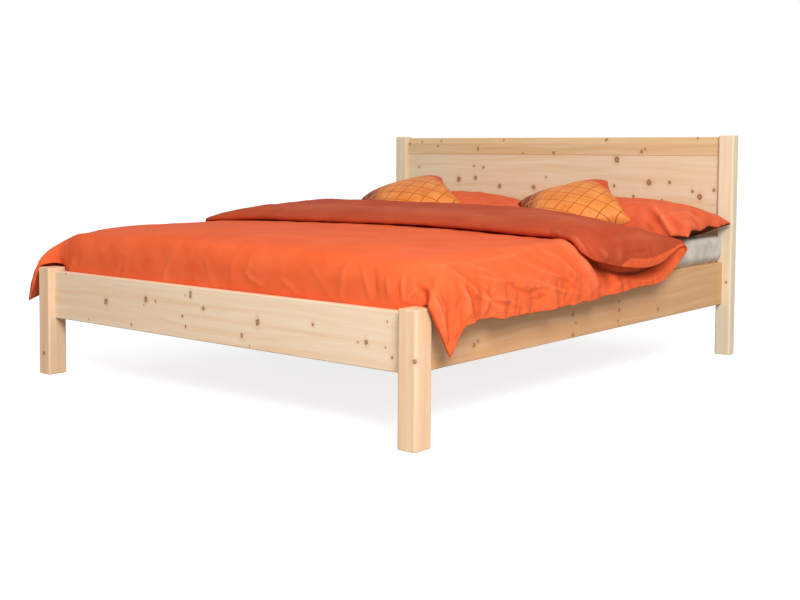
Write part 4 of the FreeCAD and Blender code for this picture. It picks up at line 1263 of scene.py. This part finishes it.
@dataclass
class DuvetForm:
    """The duvet's middle surface: tucked in at the foot, folded back at the head.

    The control points run in columns from the left hem over the top to the right hem, and in
    rows from the tuck, over the mattress and round the fold to the folded part's front edge.
    Each holds its place and the thickness there. Those of the foot are in millimetres.
    """

    bed_top: float = 0.4890
    edge_level: float = 0.529
    crown: float = 0.016
    crown_half_width: float = 0.86
    top_columns: Floats = (0.0, 0.24, 0.46, 0.64, 0.76)
    shoulder_x: float = 0.845
    shoulder_fall: float = 0.003
    main_drops: Floats = (0.0, 0.012, 0.03, 0.10, 0.18, 0.26)
    main_reach: Floats = (0.845, 0.866, 0.882, 0.904, 0.922, 0.936)
    band_drops: Floats = (0.0, 0.02, 0.04, 0.075, 0.13)
    band_reach: Floats = (0.862, 0.889, 0.905, 0.930, 0.943)
    side_shares: Floats = (0.62, 0.28, 0.0)
    side_thickness: Floats = (0.036, 0.030, 0.022, 0.008)
    hem_places: Floats = (-0.87, -0.80, -0.65, -0.46, -0.29, -0.09, 0.035, 0.139, 0.252, 0.36,
                          0.394, 0.436, 0.464, 0.514, 0.557, 0.59)
    hem_levels: Floats = (0.337, 0.344, 0.336, 0.335, 0.337, 0.343, 0.347, 0.355, 0.355, 0.359,
                          0.368, 0.382, 0.390, 0.410, 0.430, 0.451)
    band_hem_places: Floats = (-0.394, -0.277, -0.229, -0.187, -0.139, -0.103, -0.015, 0.04, 0.13,
                               0.186, 0.243, 0.279, 0.323, 0.396, 0.476, 0.527, 0.578)
    band_hem_levels: Floats = (0.546, 0.534, 0.513, 0.482, 0.469, 0.460, 0.443, 0.433, 0.430,
                               0.425, 0.429, 0.432, 0.439, 0.454, 0.464, 0.472, 0.475)
    band_top: float = 0.597
    band_shoulder: float = 0.560
    fold_line: float = 0.488
    fold_skew: float = 0.11
    fold_rise: float = 0.015
    front_sink: float = 0.008
    pinch_depth: float = 0.078
    tip_pinch: float = 0.021
    band_edge_places: Floats = (-0.86, -0.76, -0.64, -0.46, -0.24, 0.0, 0.24, 0.46, 0.64, 0.76,
                                0.86)
    band_edge_lines: Floats = (-0.25, -0.19, -0.155, -0.17, -0.155, -0.125, -0.12, -0.15, -0.172,
                               -0.178, -0.218)
    left_shift: float = 0.14
    left_tip_fall: float = 0.036
    left_foot_fall: float = 0.016
    foot_fall: float = 0.006
    recess: float = 0.016
    recess_depth: float = 0.070
    right_slim: float = 0.65
    corner_fan: float = 0.045
    tip_fan: float = 0.045
    main_rows: Floats = (-0.88, -0.80, -0.66, -0.50, -0.30, -0.10, 0.10, 0.25, 0.33, 0.385)
    turn_angles: Floats = (-90.0, -62.0, -32.0, 0.0, 32.0, 62.0, 90.0)
    band_shares: Floats = (0.06, 0.14, 0.25, 0.37, 0.50, 0.62, 0.74, 0.86, 0.95, 1.0)
    band_fullness: Floats = (1.0, 1.0, 1.0, 1.0, 1.0, 0.99, 0.96, 0.86, 0.60, 0.34)
    tuck: tuple[Point, ...] = ((-991, 312, 14), (-991, 360, 15), (-991, 415, 18), (-984, 466, 26),
                               (-955, 500, 38))
    right_foot: tuple[tuple[Knot, ...], ...] = (
        ((845, -966, 389, 12), (897, -1012, 404, 14), (912, -992, 348, 14), (930, -954, 257, 8)),
        ((848, -962, 410, 16), (896, -992, 413, 16), (915, -975, 358, 16), (931, -934, 283, 8)),
        ((851, -955, 441, 22), (893, -970, 427, 20), (914, -950, 370, 18), (930, -912, 308, 8)),
        ((852, -942, 474, 28), (887, -945, 449, 24), (908, -925, 390, 20), (926, -892, 325, 8)),
        ((850, -918, 498, 34), (883, -918, 470, 28), (904, -898, 404, 22), (922, -872, 334, 8)))
    left_foot: tuple[tuple[Knot, ...], ...] = (
        ((-846, -968, 399, 12), (-904, -1030, 397, 14), (-930, -1046, 350, 14),
         (-960, -1050, 264, 8)),
        ((-849, -980, 426, 16), (-903, -1022, 430, 16), (-928, -1028, 364, 16),
         (-951, -1012, 282, 8)),
        ((-852, -976, 450, 22), (-897, -996, 443, 20), (-921, -990, 378, 18),
         (-941, -962, 304, 8)),
        ((-852, -956, 471, 28), (-890, -960, 456, 24), (-912, -942, 396, 20),
         (-930, -916, 322, 8)),
        ((-850, -926, 485, 34), (-884, -922, 463, 28), (-906, -900, 406, 22),
         (-923, -878, 332, 8)))
    fine: float = 0.0068
    medium: float = 0.0095
    coarse: float = 0.0110

    def pinch(self, x: float, y: float) -> float:
        """Return how far the folded part sinks at its right end, in metres."""
        tip = smooth_step(x, 0.74, 0.85) * smooth_step(y, 0.28, 0.55)
        return (self.pinch_depth * smooth_step(x, 0.30, 0.84) * smooth_step(y, 0.02, 0.56)
                + self.tip_pinch * tip)

    def squeeze(self, x: float, y: float) -> float:
        """Return the share of its height that the folded part keeps at a place."""
        full = self.band_top - self.bed_top
        return (full - self.pinch(x, y)) / full

    def main_point(self, x: float, y: float, level: float) -> Array:
        """Place a control point on the top of the lower layer.

        Args:
            x: Place across the bed.
            y: Place along the bed.
            level: Height of the top's edge.

        Returns:
            The point and the thickness there.
        """
        corner = smooth_step(-y, 0.66, 0.95) * smooth_step(-x, 0.45, 0.85)
        edge = level - self.left_foot_fall * corner
        top = edge + self.crown * (1 - (x / self.crown_half_width) ** 2)
        top = self.bed_top + (top - self.bed_top) * self.squeeze(x, y)
        return np.array((x, y, (top + self.bed_top) / 2, top - self.bed_top))

    def band_point(self, x: float, y: float) -> Array:
        """Place a control point on the top of the folded part.

        Args:
            x: Place across the bed.
            y: Place along the bed.

        Returns:
            The point and the thickness there.
        """
        lower = self.main_point(x, y, self.edge_level)
        under = lower[2] + lower[3] / 2 + 0.002
        left = 1 - smooth_step(x, -0.30, 0.55)
        top = self.band_top + self.fold_rise * left * smooth_step(y, 0.0, 0.40)
        top -= self.front_sink * left * (1 - smooth_step(y, -0.22, 0.05))
        top = self.bed_top + (top - self.bed_top) * self.squeeze(x, y)
        return np.array((x, y, (top + under) / 2, top - under))

    def side_points(self, side: Side, shoulder: Array, hem: Pair,
                    profile: tuple[Floats, Floats], recess: float) -> list[Array]:
        """Hang the side columns from a shoulder point down to the hem.

        Args:
            side: Side of the bed.
            shoulder: Shoulder's control point.
            hem: Place along the bed and height of the hem.
            profile: Depths below the shoulder, and the places across the bed there.
            recess: Depth of the hollow under the fold.

        Returns:
            The shoulder and the three control points below it.
        """
        shoulder[3] = min(shoulder[3], self.side_thickness[0])
        slim = 1 - self.right_slim * smooth_step(shoulder[1], 0.20, 0.52) * (side is Side.RIGHT)
        points = [shoulder]
        for share, thickness in zip(self.side_shares, self.side_thickness[1:]):
            y, z = (hem[n] + (shoulder[n + 1] - hem[n]) * share for n in (0, 1))
            drop = shoulder[2] - z
            hollow = math.exp(-((drop - self.recess_depth) / 0.04) ** 2)
            under_fold = smooth_step(y, 0.02, 0.14) * (1 - smooth_step(y, 0.46, 0.56))
            x = np.interp(drop, *profile) - recess * hollow * under_fold
            points.append(np.array((side.value * x, y, z, thickness * slim)))
        return points

    def main_side(self, side: Side, y: float, level: float) -> list[Array]:
        """Hang the lower layer's side columns, fanned out at the corner and at the fold.

        Args:
            side: Side of the bed.
            y: Place of the shoulder along the bed.
            level: Height of the top's edge.

        Returns:
            The control points from the shoulder down.
        """
        shoulder = self.main_point(side.value * self.shoulder_x, y, level - self.shoulder_fall)
        place = y + self.corner_fan * (1 - smooth_step(y, -0.90, -0.45))
        if side is Side.RIGHT:
            place += self.tip_fan * (smooth_step(y, 0.36, 0.48)
                                     * (1 - 0.5 * smooth_step(y, 0.50, 0.57)))
        hem = (place, np.interp(place, self.hem_places, self.hem_levels))
        return self.side_points(side, shoulder, hem, (self.main_drops, self.main_reach),
                                self.recess if side is Side.RIGHT else 0.0)

    def band_side(self, side: Side, y: float) -> list[Array]:
        """Hang the folded part's side columns at a place along the bed.

        Args:
            side: Side of the bed.
            y: Place along the bed.

        Returns:
            The control points from the shoulder down.
        """
        x = side.value * self.band_reach[0]
        shoulder = self.band_point(x, y)
        shoulder[2] -= (self.band_top - self.band_shoulder) * 0.3 * self.squeeze(x, y)
        shift = self.left_shift * (side is Side.LEFT)
        hem = np.interp(y - shift * (0.57 - y), self.band_hem_places, self.band_hem_levels)
        if side is Side.LEFT:
            hem -= self.left_tip_fall * (1 - smooth_step(y, -0.27, -0.08))
        return self.side_points(side, shoulder, (y, min(hem, shoulder[2] - 0.004)),
                                (self.band_drops, self.band_reach), 0.0)

    def row(self, top: Callable[[float], Array], side_of: Callable[[Side], list[Array]]) -> Array:
        """Put one row together from its points on top and those of each side, from the left."""
        places = [-x for x in self.top_columns[:0:-1]] + list(self.top_columns)
        return np.array(side_of(Side.LEFT)[::-1] + [top(x) for x in places]
                        + side_of(Side.RIGHT))

    def main_row(self, line: Callable[[float], float], level: float) -> Array:
        """Make a row of the lower layer along a line, with the top's edge at a level."""
        return self.row(lambda x: self.main_point(x, line(x), level),
                        lambda side: self.main_side(side, line(side.value * self.shoulder_x),
                                                    level))

    def foot_rows(self) -> list[Array]:
        """Make the rows of the tuck and the foot end, whose corners hang outside the posts.

        Returns:
            The rows of control points.
        """
        rows = []
        for number, (y, z, thickness) in enumerate(np.array(self.tuck) / MM_IN_M):
            sides = {Side.RIGHT: self.right_foot[number], Side.LEFT: self.left_foot[number]}
            crown = self.crown * number / len(self.tuck)
            rows.append(self.row(
                lambda x: np.array((x, y, z + crown * (0.5 - (x / self.crown_half_width) ** 2),
                                    thickness)),
                lambda side: list(np.array(sides[side]) / MM_IN_M)))
        return rows

    def turn_line(self, x: float, y: float) -> float:
        """Return where the fold's turn starts, for the height that the fold has at y."""
        return self.fold_line + self.fold_skew * x - (
            self.band_top - self.bed_top - self.pinch(x, y)) / 2

    def fold_rows(self) -> list[Array]:
        """Make the rows round the fold.

        Returns:
            The rows of control points.
        """
        def centre(x: float) -> float:
            """Return where the turn starts."""
            return self.turn_line(x, self.fold_line + self.fold_skew * x)

        lower = self.main_row(centre, self.edge_level)
        upper = self.row(lambda x: self.band_point(x, centre(x)),
                         lambda side: self.band_side(side, centre(side.value * self.shoulder_x)))
        gap = np.linalg.norm((upper - lower)[:, :3], axis=1)
        rows = []
        for angle in map(math.radians, self.turn_angles):
            rows.append((lower + upper) / 2 + (upper - lower) / 2 * math.sin(angle))
            rows[-1][:, 1] += gap / 2 * math.cos(angle)
        return rows

    def band_row(self, share: float, fullness: float) -> Array:
        """Make a row across the folded part.

        Args:
            share: Share of the way from the fold to the front edge.
            fullness: Share of the full thickness.

        Returns:
            The row's control points.
        """
        def place(x: float) -> float:
            """Return where the row lies along the bed."""
            back = self.turn_line(x, self.fold_line)
            return back + (np.interp(x, self.band_edge_places, self.band_edge_lines)
                           - back) * share

        row = self.row(lambda x: self.band_point(x, place(x)),
                       lambda side: self.band_side(side, place(side.value * self.band_reach[0])))
        row[:, 2] -= row[:, 3] * (1 - fullness) / 2 * 0.75
        row[:, 3] *= fullness
        return row

    def control_rows(self) -> Array:
        """Put all rows of control points together.

        Returns:
            Rows of columns of points, each with its thickness.
        """
        rows = self.foot_rows()
        for y in self.main_rows:
            lean = self.fold_skew * smooth_step(y, -0.3, 0.40)
            level = self.edge_level - self.foot_fall * smooth_step(-y, 0.80, 0.92)
            rows.append(self.main_row(lambda x: y + lean * x, level))
        return np.array(rows + self.fold_rows()
                        + list(map(self.band_row, self.band_shares, self.band_fullness)))

    def grid(self) -> tuple[Array, Array]:
        """Run the smooth surface through the control points, finest where small creases show.

        Returns:
            Rows of columns of points, each with its thickness, and each row's place among the
            control rows.
        """
        surface = self.control_rows()
        rows, columns = surface.shape[:2]
        row_spacings = np.where(np.arange(rows - 1) < self.fold_row - 7, self.fine, self.medium)
        column_spacings = np.where(np.arange(columns - 1) < columns - 6, self.coarse, self.fine)
        row_places = np.arange(rows)
        for spacings in (row_spacings, column_spacings):
            steps = np.linalg.norm(np.diff(surface[..., :3], axis=0), axis=2).max(1)
            counts = np.maximum(1, np.round(steps / spacings)).astype(int)
            places = np.concatenate([index + np.arange(count) / count
                                     for index, count in enumerate(counts)] + [[len(counts)]])
            if spacings is row_spacings:
                row_places = places
            surface = np.swapaxes(smooth_curve(surface, places), 0, 1)
        return surface, row_places

    @property
    def fold_row(self) -> int:
        """Number of the control row where the fold's turn begins."""
        return len(self.tuck) + len(self.main_rows)

    @property
    def band_row_start(self) -> int:
        """Number of the control row where the folded part begins."""
        return self.fold_row + len(self.turn_angles) - 1


@dataclass
class Duvet:
    """The quilted duvet: orange on its face, rust on its reverse, which the fold turns up.

    Each hem wave has a weight, a length in metres and a phase. Each soft unevenness has a
    height and a size in metres and a seed.
    """

    form: DuvetForm = field(default_factory=DuvetForm)
    cotton: WovenCotton = field(default_factory=lambda: WovenCotton(
        "EB683A", "E15D30", "BF4F2D", "AD4325"))
    hem_wave: float = 0.006
    in_out_waves: tuple[Point, ...] = ((1.0, 0.225, 0.6), (0.7, 0.137, 1.9), (0.4, 0.071, 0.3))
    up_down_waves: tuple[Point, ...] = ((0.6, 0.19, 2.2), (0.5, 0.083, 0.0))
    unevenness: tuple[tuple[float, float, int], ...] = ((0.0014, 0.22, 3), (0.0007, 0.09, 8))
    crumple: float = 0.0016
    crease_strength: float = 1.4
    crease_depth: float = 0.012
    deepest: float = 0.40
    rim: float = 0.030
    rim_places: Floats = (-0.02, 0.05, 0.28, 0.36, 0.48, 0.58)
    rim_shares: Floats = (0.0, 1.0, 0.9, 0.65, 0.35, 0.25)
    face_creases: tuple[Crease, ...] = crease_rows(
        (1.6, 3.5, (351.5, 259), (342.5, 273), (340.7, 300.5)),
        (2.2, -3.0, (373, 266), (376.5, 300.5)),
        (1.9, 3.0, (386.8, 276.4), (389.4, 298.8)),
        (1.6, 4.5, (404, 273), (402.3, 283.3), (404, 300.5), (411, 303)),
        (1.6, -4.5, (397.5, 276.4), (398.5, 304)),
        (1.7, 4.5, (412.7, 278), (416, 290), (405.8, 300)),
        (2.0, -8.0, (416, 283.3), (423.9, 293.7), (427.3, 307.4), (433.3, 327)),
        (2.4, 6.0, (426.4, 283.3), (440.2, 310.9), (447.1, 345)),
        (2.0, -5.0, (440.2, 288), (450.5, 310.9), (448.8, 347)),
        (1.9, -10.0, (466, 281), (475, 299), (477.5, 320)),
        (2.3, 6.0, (461, 284), (468.5, 300), (469, 320)),
        (2.3, 5.0, (484, 284), (487, 300), (484, 318)),
        (1.7, 4.5, (442, 264.4), (464.3, 279.9), (479.8, 297.1), (502.2, 310.9)),
        (1.7, -4.5, (454, 266.1), (476.4, 283.3), (493.6, 300.5), (516, 309.2)),
        (1.7, 3.5, (425, 266), (467.8, 263.5), (512.5, 254.9), (548, 242)),
        (1.6, 3.0, (465, 265), (484, 270), (502, 278)),
        (1.6, -5.0, (505.7, 279.9), (519.4, 290.2), (536.7, 295.4)),
        (1.6, -5.5, (534.9, 289), (543.5, 297.1), (532, 299.5)),
        (1.7, 4.5, (519.4, 276.4), (541.8, 283.3), (562.5, 292), (578, 293.7)),
        (1.4, 4.5, (522, 284), (536, 287), (548, 285)),
        (1.7, 4.0, (485, 298.8), (509, 300.5), (522.9, 307.4)),
        (1.7, 3.5, (502.2, 248.9), (536.7, 269.5), (571, 280), (585, 292)),
        (1.7, -3.5, (519.4, 248.9), (553.9, 269.5), (580, 292)),
        (1.7, 4.5, (535, 246), (560, 260), (578, 276.4), (591.8, 293.7)),
        (1.7, 3.5, (476.4, 276.4), (502.2, 281.6), (522.9, 276.4)),
        (4.5, 8.5, (549, 239), (563, 243), (576, 252), (583, 261), (592, 274), (598, 290)),
        (6.0, -15.0, (584, 250), (597, 262), (606, 275), (613, 290)),
        (7.0, -12.0, (601, 262), (625, 276), (650, 273), (668, 262), (676, 254)),
        (2.2, 5.0, (612, 290), (628, 279), (650, 281), (672, 266)),
        (1.5, -16.0, (598, 265), (611, 270.5), (625, 273), (639, 271.5), (651, 267), (664, 259)),
        (1.4, 2.8, (75, 254), (70, 272)),
        (1.4, 2.4, (83, 256), (80, 274)),
        (1.4, 2.8, (120, 260), (114, 281)),
        (1.3, 2.4, (127, 262), (123, 282)),
        (1.4, 3.2, (172, 254), (164, 272), (166, 286)),
        (1.5, 2.6, (205, 258), (214, 291)),
        (1.6, 2.5, (234, 258), (231, 284)),
        (1.5, 3.5, (252, 254), (246, 273), (252, 280), (266, 288)),
        (1.6, 3.0, (280, 278), (300, 296)),
        (1.7, 2.2, (309, 262), (331, 298)),
        (1.7, 2.8, (361, 262), (371, 302)))
    band_creases: tuple[Crease, ...] = crease_rows(
        (1.6, 5.0, (574, 236), (580, 244), (588, 254)),
        (1.7, -5.0, (582, 240), (588, 247), (597, 259)),
        (1.6, 3.5, (557, 229), (560, 239)),
        (1.6, -3.0, (549, 227), (551, 236)),
        (1.7, 4.0, (601, 248), (609, 260)),
        (1.7, 3.5, (618.6, 245), (621, 264)),
        (1.6, -4.0, (629, 253.5), (640, 252.5), (652, 250)),
        (4.0, 3.0, (612, 241), (640, 236), (668, 242)),
        (4.0, 3.5, (500, 210), (545, 214), (600, 226)),
        (4.0, 3.0, (380, 209), (450, 213), (510, 221)),
        (2.5, 3.0, (256, 209), (340, 206), (400, 210)))

    def build(self) -> Object:
        """Make the duvet.

        Returns:
            The finished piece.
        """
        grid, places = self.form.grid()
        columns = grid.shape[1]
        middle, thickness = self.wave_sides(grid[..., :3]), grid[..., 3:]
        normal = np.cross(np.gradient(middle, axis=1), np.gradient(middle, axis=0))
        normal /= np.maximum(np.linalg.norm(normal, axis=2, keepdims=True), 1e-9)
        main = np.repeat(places < self.form.fold_row + 1, columns)
        band = np.repeat(places > self.form.band_row_start - 2, columns)
        face, face_shade = self.crease(middle, normal, thickness, self.face_creases, main)
        back, back_shade = self.crease(middle, -normal, thickness, self.band_creases, band)
        obj = self.shell("duvet_cover", face, back)
        # The crease mark paints shade in the valleys, a dark shadow in the deepest and a highlight
        # on the ridges.
        mark_points(obj, {
            "reverse": self.reverse_marks(middle, band),
            "crease": np.concatenate((face_shade, back_shade)),
            "crumple": np.tile(self.rough(middle.reshape(-1, 3)), 2)})
        return hand_over(obj, self.cotton.build("duvet_cotton"), "duvet")

    def wave_sides(self, middle: Array) -> Array:
        """Let the hanging sides wave in and out and their hems up and down.

        Args:
            middle: Rows of columns of points on the middle surface.

        Returns:
            The waved surface.
        """
        waved, y = middle.copy(), middle[..., 1]
        side = smooth_step(0.49 - middle[..., 2], 0.0, 0.14) * (np.abs(middle[..., 0]) > 0.84)
        inner = smooth_step(y, -0.93, -0.80) * (1 - smooth_step(y, 0.0, 0.22))
        sway, drift = (sum(weight * np.sin(y * 2 * math.pi / length + phase)
                           for weight, length, phase in waves)
                       for waves in (self.in_out_waves, self.up_down_waves))
        waved[..., 0] += np.sign(middle[..., 0]) * side * inner * self.hem_wave * sway
        waved[..., 2] += side ** 2 * inner * self.hem_wave * 0.5 * drift
        return waved

    @staticmethod
    def rough(points: Array) -> Array:
        """Return how crumpled the cover is at each point, from 0 on top to 1 on its sides."""
        return smooth_step(0.52 - points[:, 2], 0.0, 0.10) * (np.abs(points[:, 0]) > 0.80)

    def crease(self, middle: Array, outward: Array, thickness: Array, creases: Iterable[Crease],
               allowed: Array) -> tuple[Array, Array]:
        """Make one side of the duvet, with its creases and soft unevenness.

        Args:
            middle: Rows of columns of points on the middle surface.
            outward: Direction towards that side at each.
            thickness: Thickness of the duvet at each.
            creases: Creases that the photograph shows.
            allowed: Whether each point may take them.

        Returns:
            The creased side, and how deep its creases are, from -1 to 1 and deeper still in the
            deepest creases; the cloth paints this as shade in the valleys, a dark shadow in the
            deepest and a highlight on the ridges.
        """
        flat, out = (middle + outward * thickness / 2).reshape(-1, 3), outward.reshape(-1, 3)
        lift = sum(height * soft_noise(flat, size, seed) for height, size, seed in self.unevenness)
        lift += self.crumple * self.rough(flat) * soft_noise(flat, 0.055, 12)
        pressed = press_creases(flat, out, creases, allowed) * self.crease_strength
        lift += pressed
        floor = -self.deepest * thickness.reshape(-1)
        lift = np.where(lift < floor, floor + 0.2 * (lift - floor), lift)
        # Painted shade and highlight follow the pressed creases.
        shade = np.clip(pressed / self.crease_depth, -2, 1)
        return (flat + out * lift[:, None]).reshape(middle.shape), shade

    def reverse_marks(self, middle: Array, band: Array) -> Array:
        """Mark where each side of the cover shows its reverse colour.

        Args:
            middle: Rows of columns of points on the middle surface.
            band: Whether each point is on the folded part.

        Returns:
            Marks of the face and then of the reverse, from 0 to 1.
        """
        rows, columns = middle.shape[:2]
        face = np.zeros((rows, columns))
        face[-7:] = np.linspace(0.0, 2.0, 7).clip(0, 1)[:, None]
        back = np.ones((rows, columns))
        back[0] = back[:, 0] = 0.0
        strip = np.linalg.norm(np.diff(middle, axis=1), axis=2)[:, ::-1].cumsum(1)[:, ::-1]
        from_hem = np.concatenate((strip, np.zeros((rows, 1))), 1)
        reach = self.rim * np.interp(middle[..., 1], self.rim_places, self.rim_shares, 0.0, 0.3)
        turned = band.reshape(rows, columns) & (middle[..., 0] > 0.8)
        rim = np.where(turned, 1 - smooth_step(from_hem, reach - 0.003, reach + 0.003), 0.0)
        back = np.minimum(back, 1 - rim)
        back[:, -1] = np.where(turned[:, -1], back[:, -1], 0.0)
        return np.concatenate((face.ravel(), back.ravel()))

    @staticmethod
    def shell(name: str, face: Array, back: Array) -> Object:
        """Join face and reverse into one closed cover.

        Args:
            name: Name of the piece.
            face: Rows of columns of points on the face.
            back: The same on the reverse.

        Returns:
            The cover.
        """
        shift = face[..., 0].size
        upper = np.arange(shift).reshape(face.shape[:2])
        ring = np.concatenate((upper[0, :-1], upper[:-1, -1], upper[-1, :0:-1], upper[:0:-1, 0]))
        after = np.roll(ring, -1)
        edge = np.stack((ring, ring + shift, after + shift, after), 1).tolist()
        points = np.concatenate((face.reshape(-1, 3), back.reshape(-1, 3)))
        return mesh_piece(name, points, panel_faces(upper, True)
                          + panel_faces(upper + shift, False) + edge)


@dataclass
class Mattress:
    """Foam mattress in a knitted cover, which swells a little over both rails.

    Each row of cuts has a number of cuts across an axis and the first and last share of it.
    """

    low: Point = (-0.7763, -0.980, 0.3175)
    high: Point = (0.8237, 1.020, 0.4869)
    cuts: tuple[tuple[int, float, float], ...] = ((24, 0.04, 0.96), (48, 0.03, 0.97),
                                                  (9, 0.2, 0.82))
    swell_left: float = 0.020
    swell_right: float = 0.033
    swell_start: float = 0.3816
    swell_foot: float = -0.925
    swell_head: float = 1.000
    edge_radius: float = 0.022
    edge_segments: int = 6
    corner_draw: float = 0.030

    def build(self) -> Object:
        """Make the mattress.

        Returns:
            The finished piece.
        """
        size = [high - low for low, high in zip(self.low, self.high)]
        deselect()
        bpy.ops.mesh.primitive_cube_add(size=1.0, scale=size, location=[
            (low + high) / 2 for low, high in zip(self.low, self.high)])
        obj = bpy.context.active_object
        obj.name = obj.data.name = "mattress_cover"
        bpy.ops.object.transform_apply(location=True, rotation=True, scale=True)
        bpy.ops.object.mode_set(mode="EDIT")
        bpy.ops.mesh.select_all(action="SELECT")
        bpy.ops.mesh.bevel(offset=self.edge_radius, segments=self.edge_segments, affect="EDGES")
        for axis, (count, first, last) in enumerate(self.cuts):
            for share in np.linspace(first, last, count):
                place, direction = [0.0, 0.0, 0.0], [0.0, 0.0, 0.0]
                place[axis] = float(self.low[axis] + share * size[axis])
                direction[axis] = 1.0
                bpy.ops.mesh.select_all(action="SELECT")
                bpy.ops.mesh.bisect(plane_co=place, plane_no=direction)
        bpy.ops.object.mode_set(mode="OBJECT")
        move_vertices(obj.data, self.swell(coordinates(obj.data)))
        shade_smooth(obj)
        return hand_over(obj, KnittedTicking().build("knitted_ticking"), "mattress")

    def swell(self, points: Array) -> Array:
        """Swell the sides above the rails and draw in the corners at the foot.

        Args:
            points: Points of the plain block.

        Returns:
            The swollen points.
        """
        x, y, z = points.T
        rise = smooth_step(z, self.swell_start - 0.006, self.swell_start + 0.03)
        along = (smooth_step(y, self.swell_foot - 0.02, self.swell_foot + 0.04)
                 * (1 - smooth_step(y, self.swell_head - 0.012, self.swell_head + 0.02)))
        middle, half = (self.low[0] + self.high[0]) / 2, (self.high[0] - self.low[0]) / 2
        share = np.clip((x - middle) / half, -1, 1)
        outer = smooth_step(np.abs(share), 0.80, 1.0)
        amount = np.where(share > 0, self.swell_right, self.swell_left)
        corner = outer * (1 - smooth_step(y, self.low[1], self.low[1] + 0.10))
        out = outer * rise * along * amount - self.corner_draw * 0.5 * corner
        return np.stack((x + np.sign(share) * out, y + self.corner_draw * corner, z), 1)


@dataclass
class Bedding:
    """Mattress, duvet, pillows and cushions."""

    mattress_top: float = 0.4870
    pillow_cotton: WovenCotton = field(default_factory=lambda: WovenCotton("E66A42", "DA5E38"))

    def build(self) -> None:
        """Make every piece of the bedding."""
        Mattress().build()
        duvet = Duvet().build()
        cotton = self.pillow_cotton.build("pillow_cotton")
        right = BedPillow(Side.RIGHT, (0.500, 0.796, 0.5303)).build(cotton)
        left = BedPillow(Side.LEFT, (-0.350, 0.796, 0.5343)).build(cotton)
        satin = LatticeSatin().build("lattice_satin")
        ScatterCushion(Side.RIGHT, (0.361, 0.640, 0.581), 45.0, 22.0).build(
            satin, (right, duvet), self.mattress_top)
        ScatterCushion(Side.LEFT, (-0.455, 0.600, 0.591), 54.0, 18.0).build(
            satin, (left, duvet), self.mattress_top)


@dataclass
class Studio:
    """Floor, daylight and white surroundings."""

    floor_size: float = 60.0
    floor_drop: float = 0.0005
    floor_colour: str = "B4B4B4"
    floor_glow: float = 0.80
    ambient: float = 0.43
    key_level: float = 2.65
    key_from: Point = (0.62, -0.55, 0.56)
    key_distance: float = 7.0
    key_width: float = 2.8

    def build(self) -> None:
        """Make the studio round the bed."""
        self.build_world()
        self.build_key()
        self.build_floor()
        bpy.context.scene.view_settings.view_transform = "Standard"

    def build_world(self) -> None:
        """Light the bed softly from all round, and show white behind it."""
        world = bpy.data.worlds.new("studio")
        graph = NodeGraph(world)
        rays = graph.add("LightPath", {}).node.outputs
        seen = rays["Is Camera Ray"]
        for kind in ("Is Glossy Ray", "Is Transmission Ray"):
            seen = graph.add("Math", {0: seen, 1: rays[kind]}, operation="MAXIMUM")
        strength = graph.add("MapRange", {0: seen, 3: self.ambient, 4: 1.0})
        graph.feed(graph.tree.nodes["Background"], {"Strength": strength, "Color": WHITE})
        bpy.context.scene.world = world

    def build_key(self) -> None:
        """Set the main light, a wide round diffuser high in front of the foot end."""
        data = bpy.data.lights.new("key_diffuser", "AREA")
        data.shape = "DISK"
        data.size = self.key_width
        data.energy = self.key_level * math.pi * self.key_distance ** 2
        lamp = bpy.data.objects.new("key_diffuser", data)
        bpy.context.scene.collection.objects.link(lamp)
        direction = Vector(self.key_from).normalized()
        lamp.location = direction * self.key_distance
        lamp.rotation_euler = direction.to_track_quat("Z", "Y").to_euler()

    def build_floor(self) -> None:
        """Lay the pale floor, which keeps the bed's shadow."""
        deselect()
        bpy.ops.mesh.primitive_plane_add(size=self.floor_size,
                                         location=(0.0, 0.0, -self.floor_drop))
        floor = bpy.context.active_object
        floor.name = "studio_floor"
        graph = NodeGraph(bpy.data.materials.new("studio_floor"))
        rays = graph.add("LightPath", {}, "Is Camera Ray")
        glow = graph.add("Math", {0: rays, 1: self.floor_glow}, operation="MULTIPLY")
        floor.data.materials.append(graph.finish({
            "Base Color": srgb(self.floor_colour), "Roughness": 0.9, "Emission Color": WHITE,
            "Emission Strength": glow}))


def main() -> None:
    """Build the scene in order and report each piece."""
    logging.basicConfig(level=logging.INFO, format="%(name)s: %(message)s")
    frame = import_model()
    PHOTO.build()
    Studio().build()
    BedFrame().build(frame["nodes"])
    SlattedBase().build(frame["nodes"])
    Bedding().build()
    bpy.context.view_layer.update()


if __name__ == "__main__":
    main()
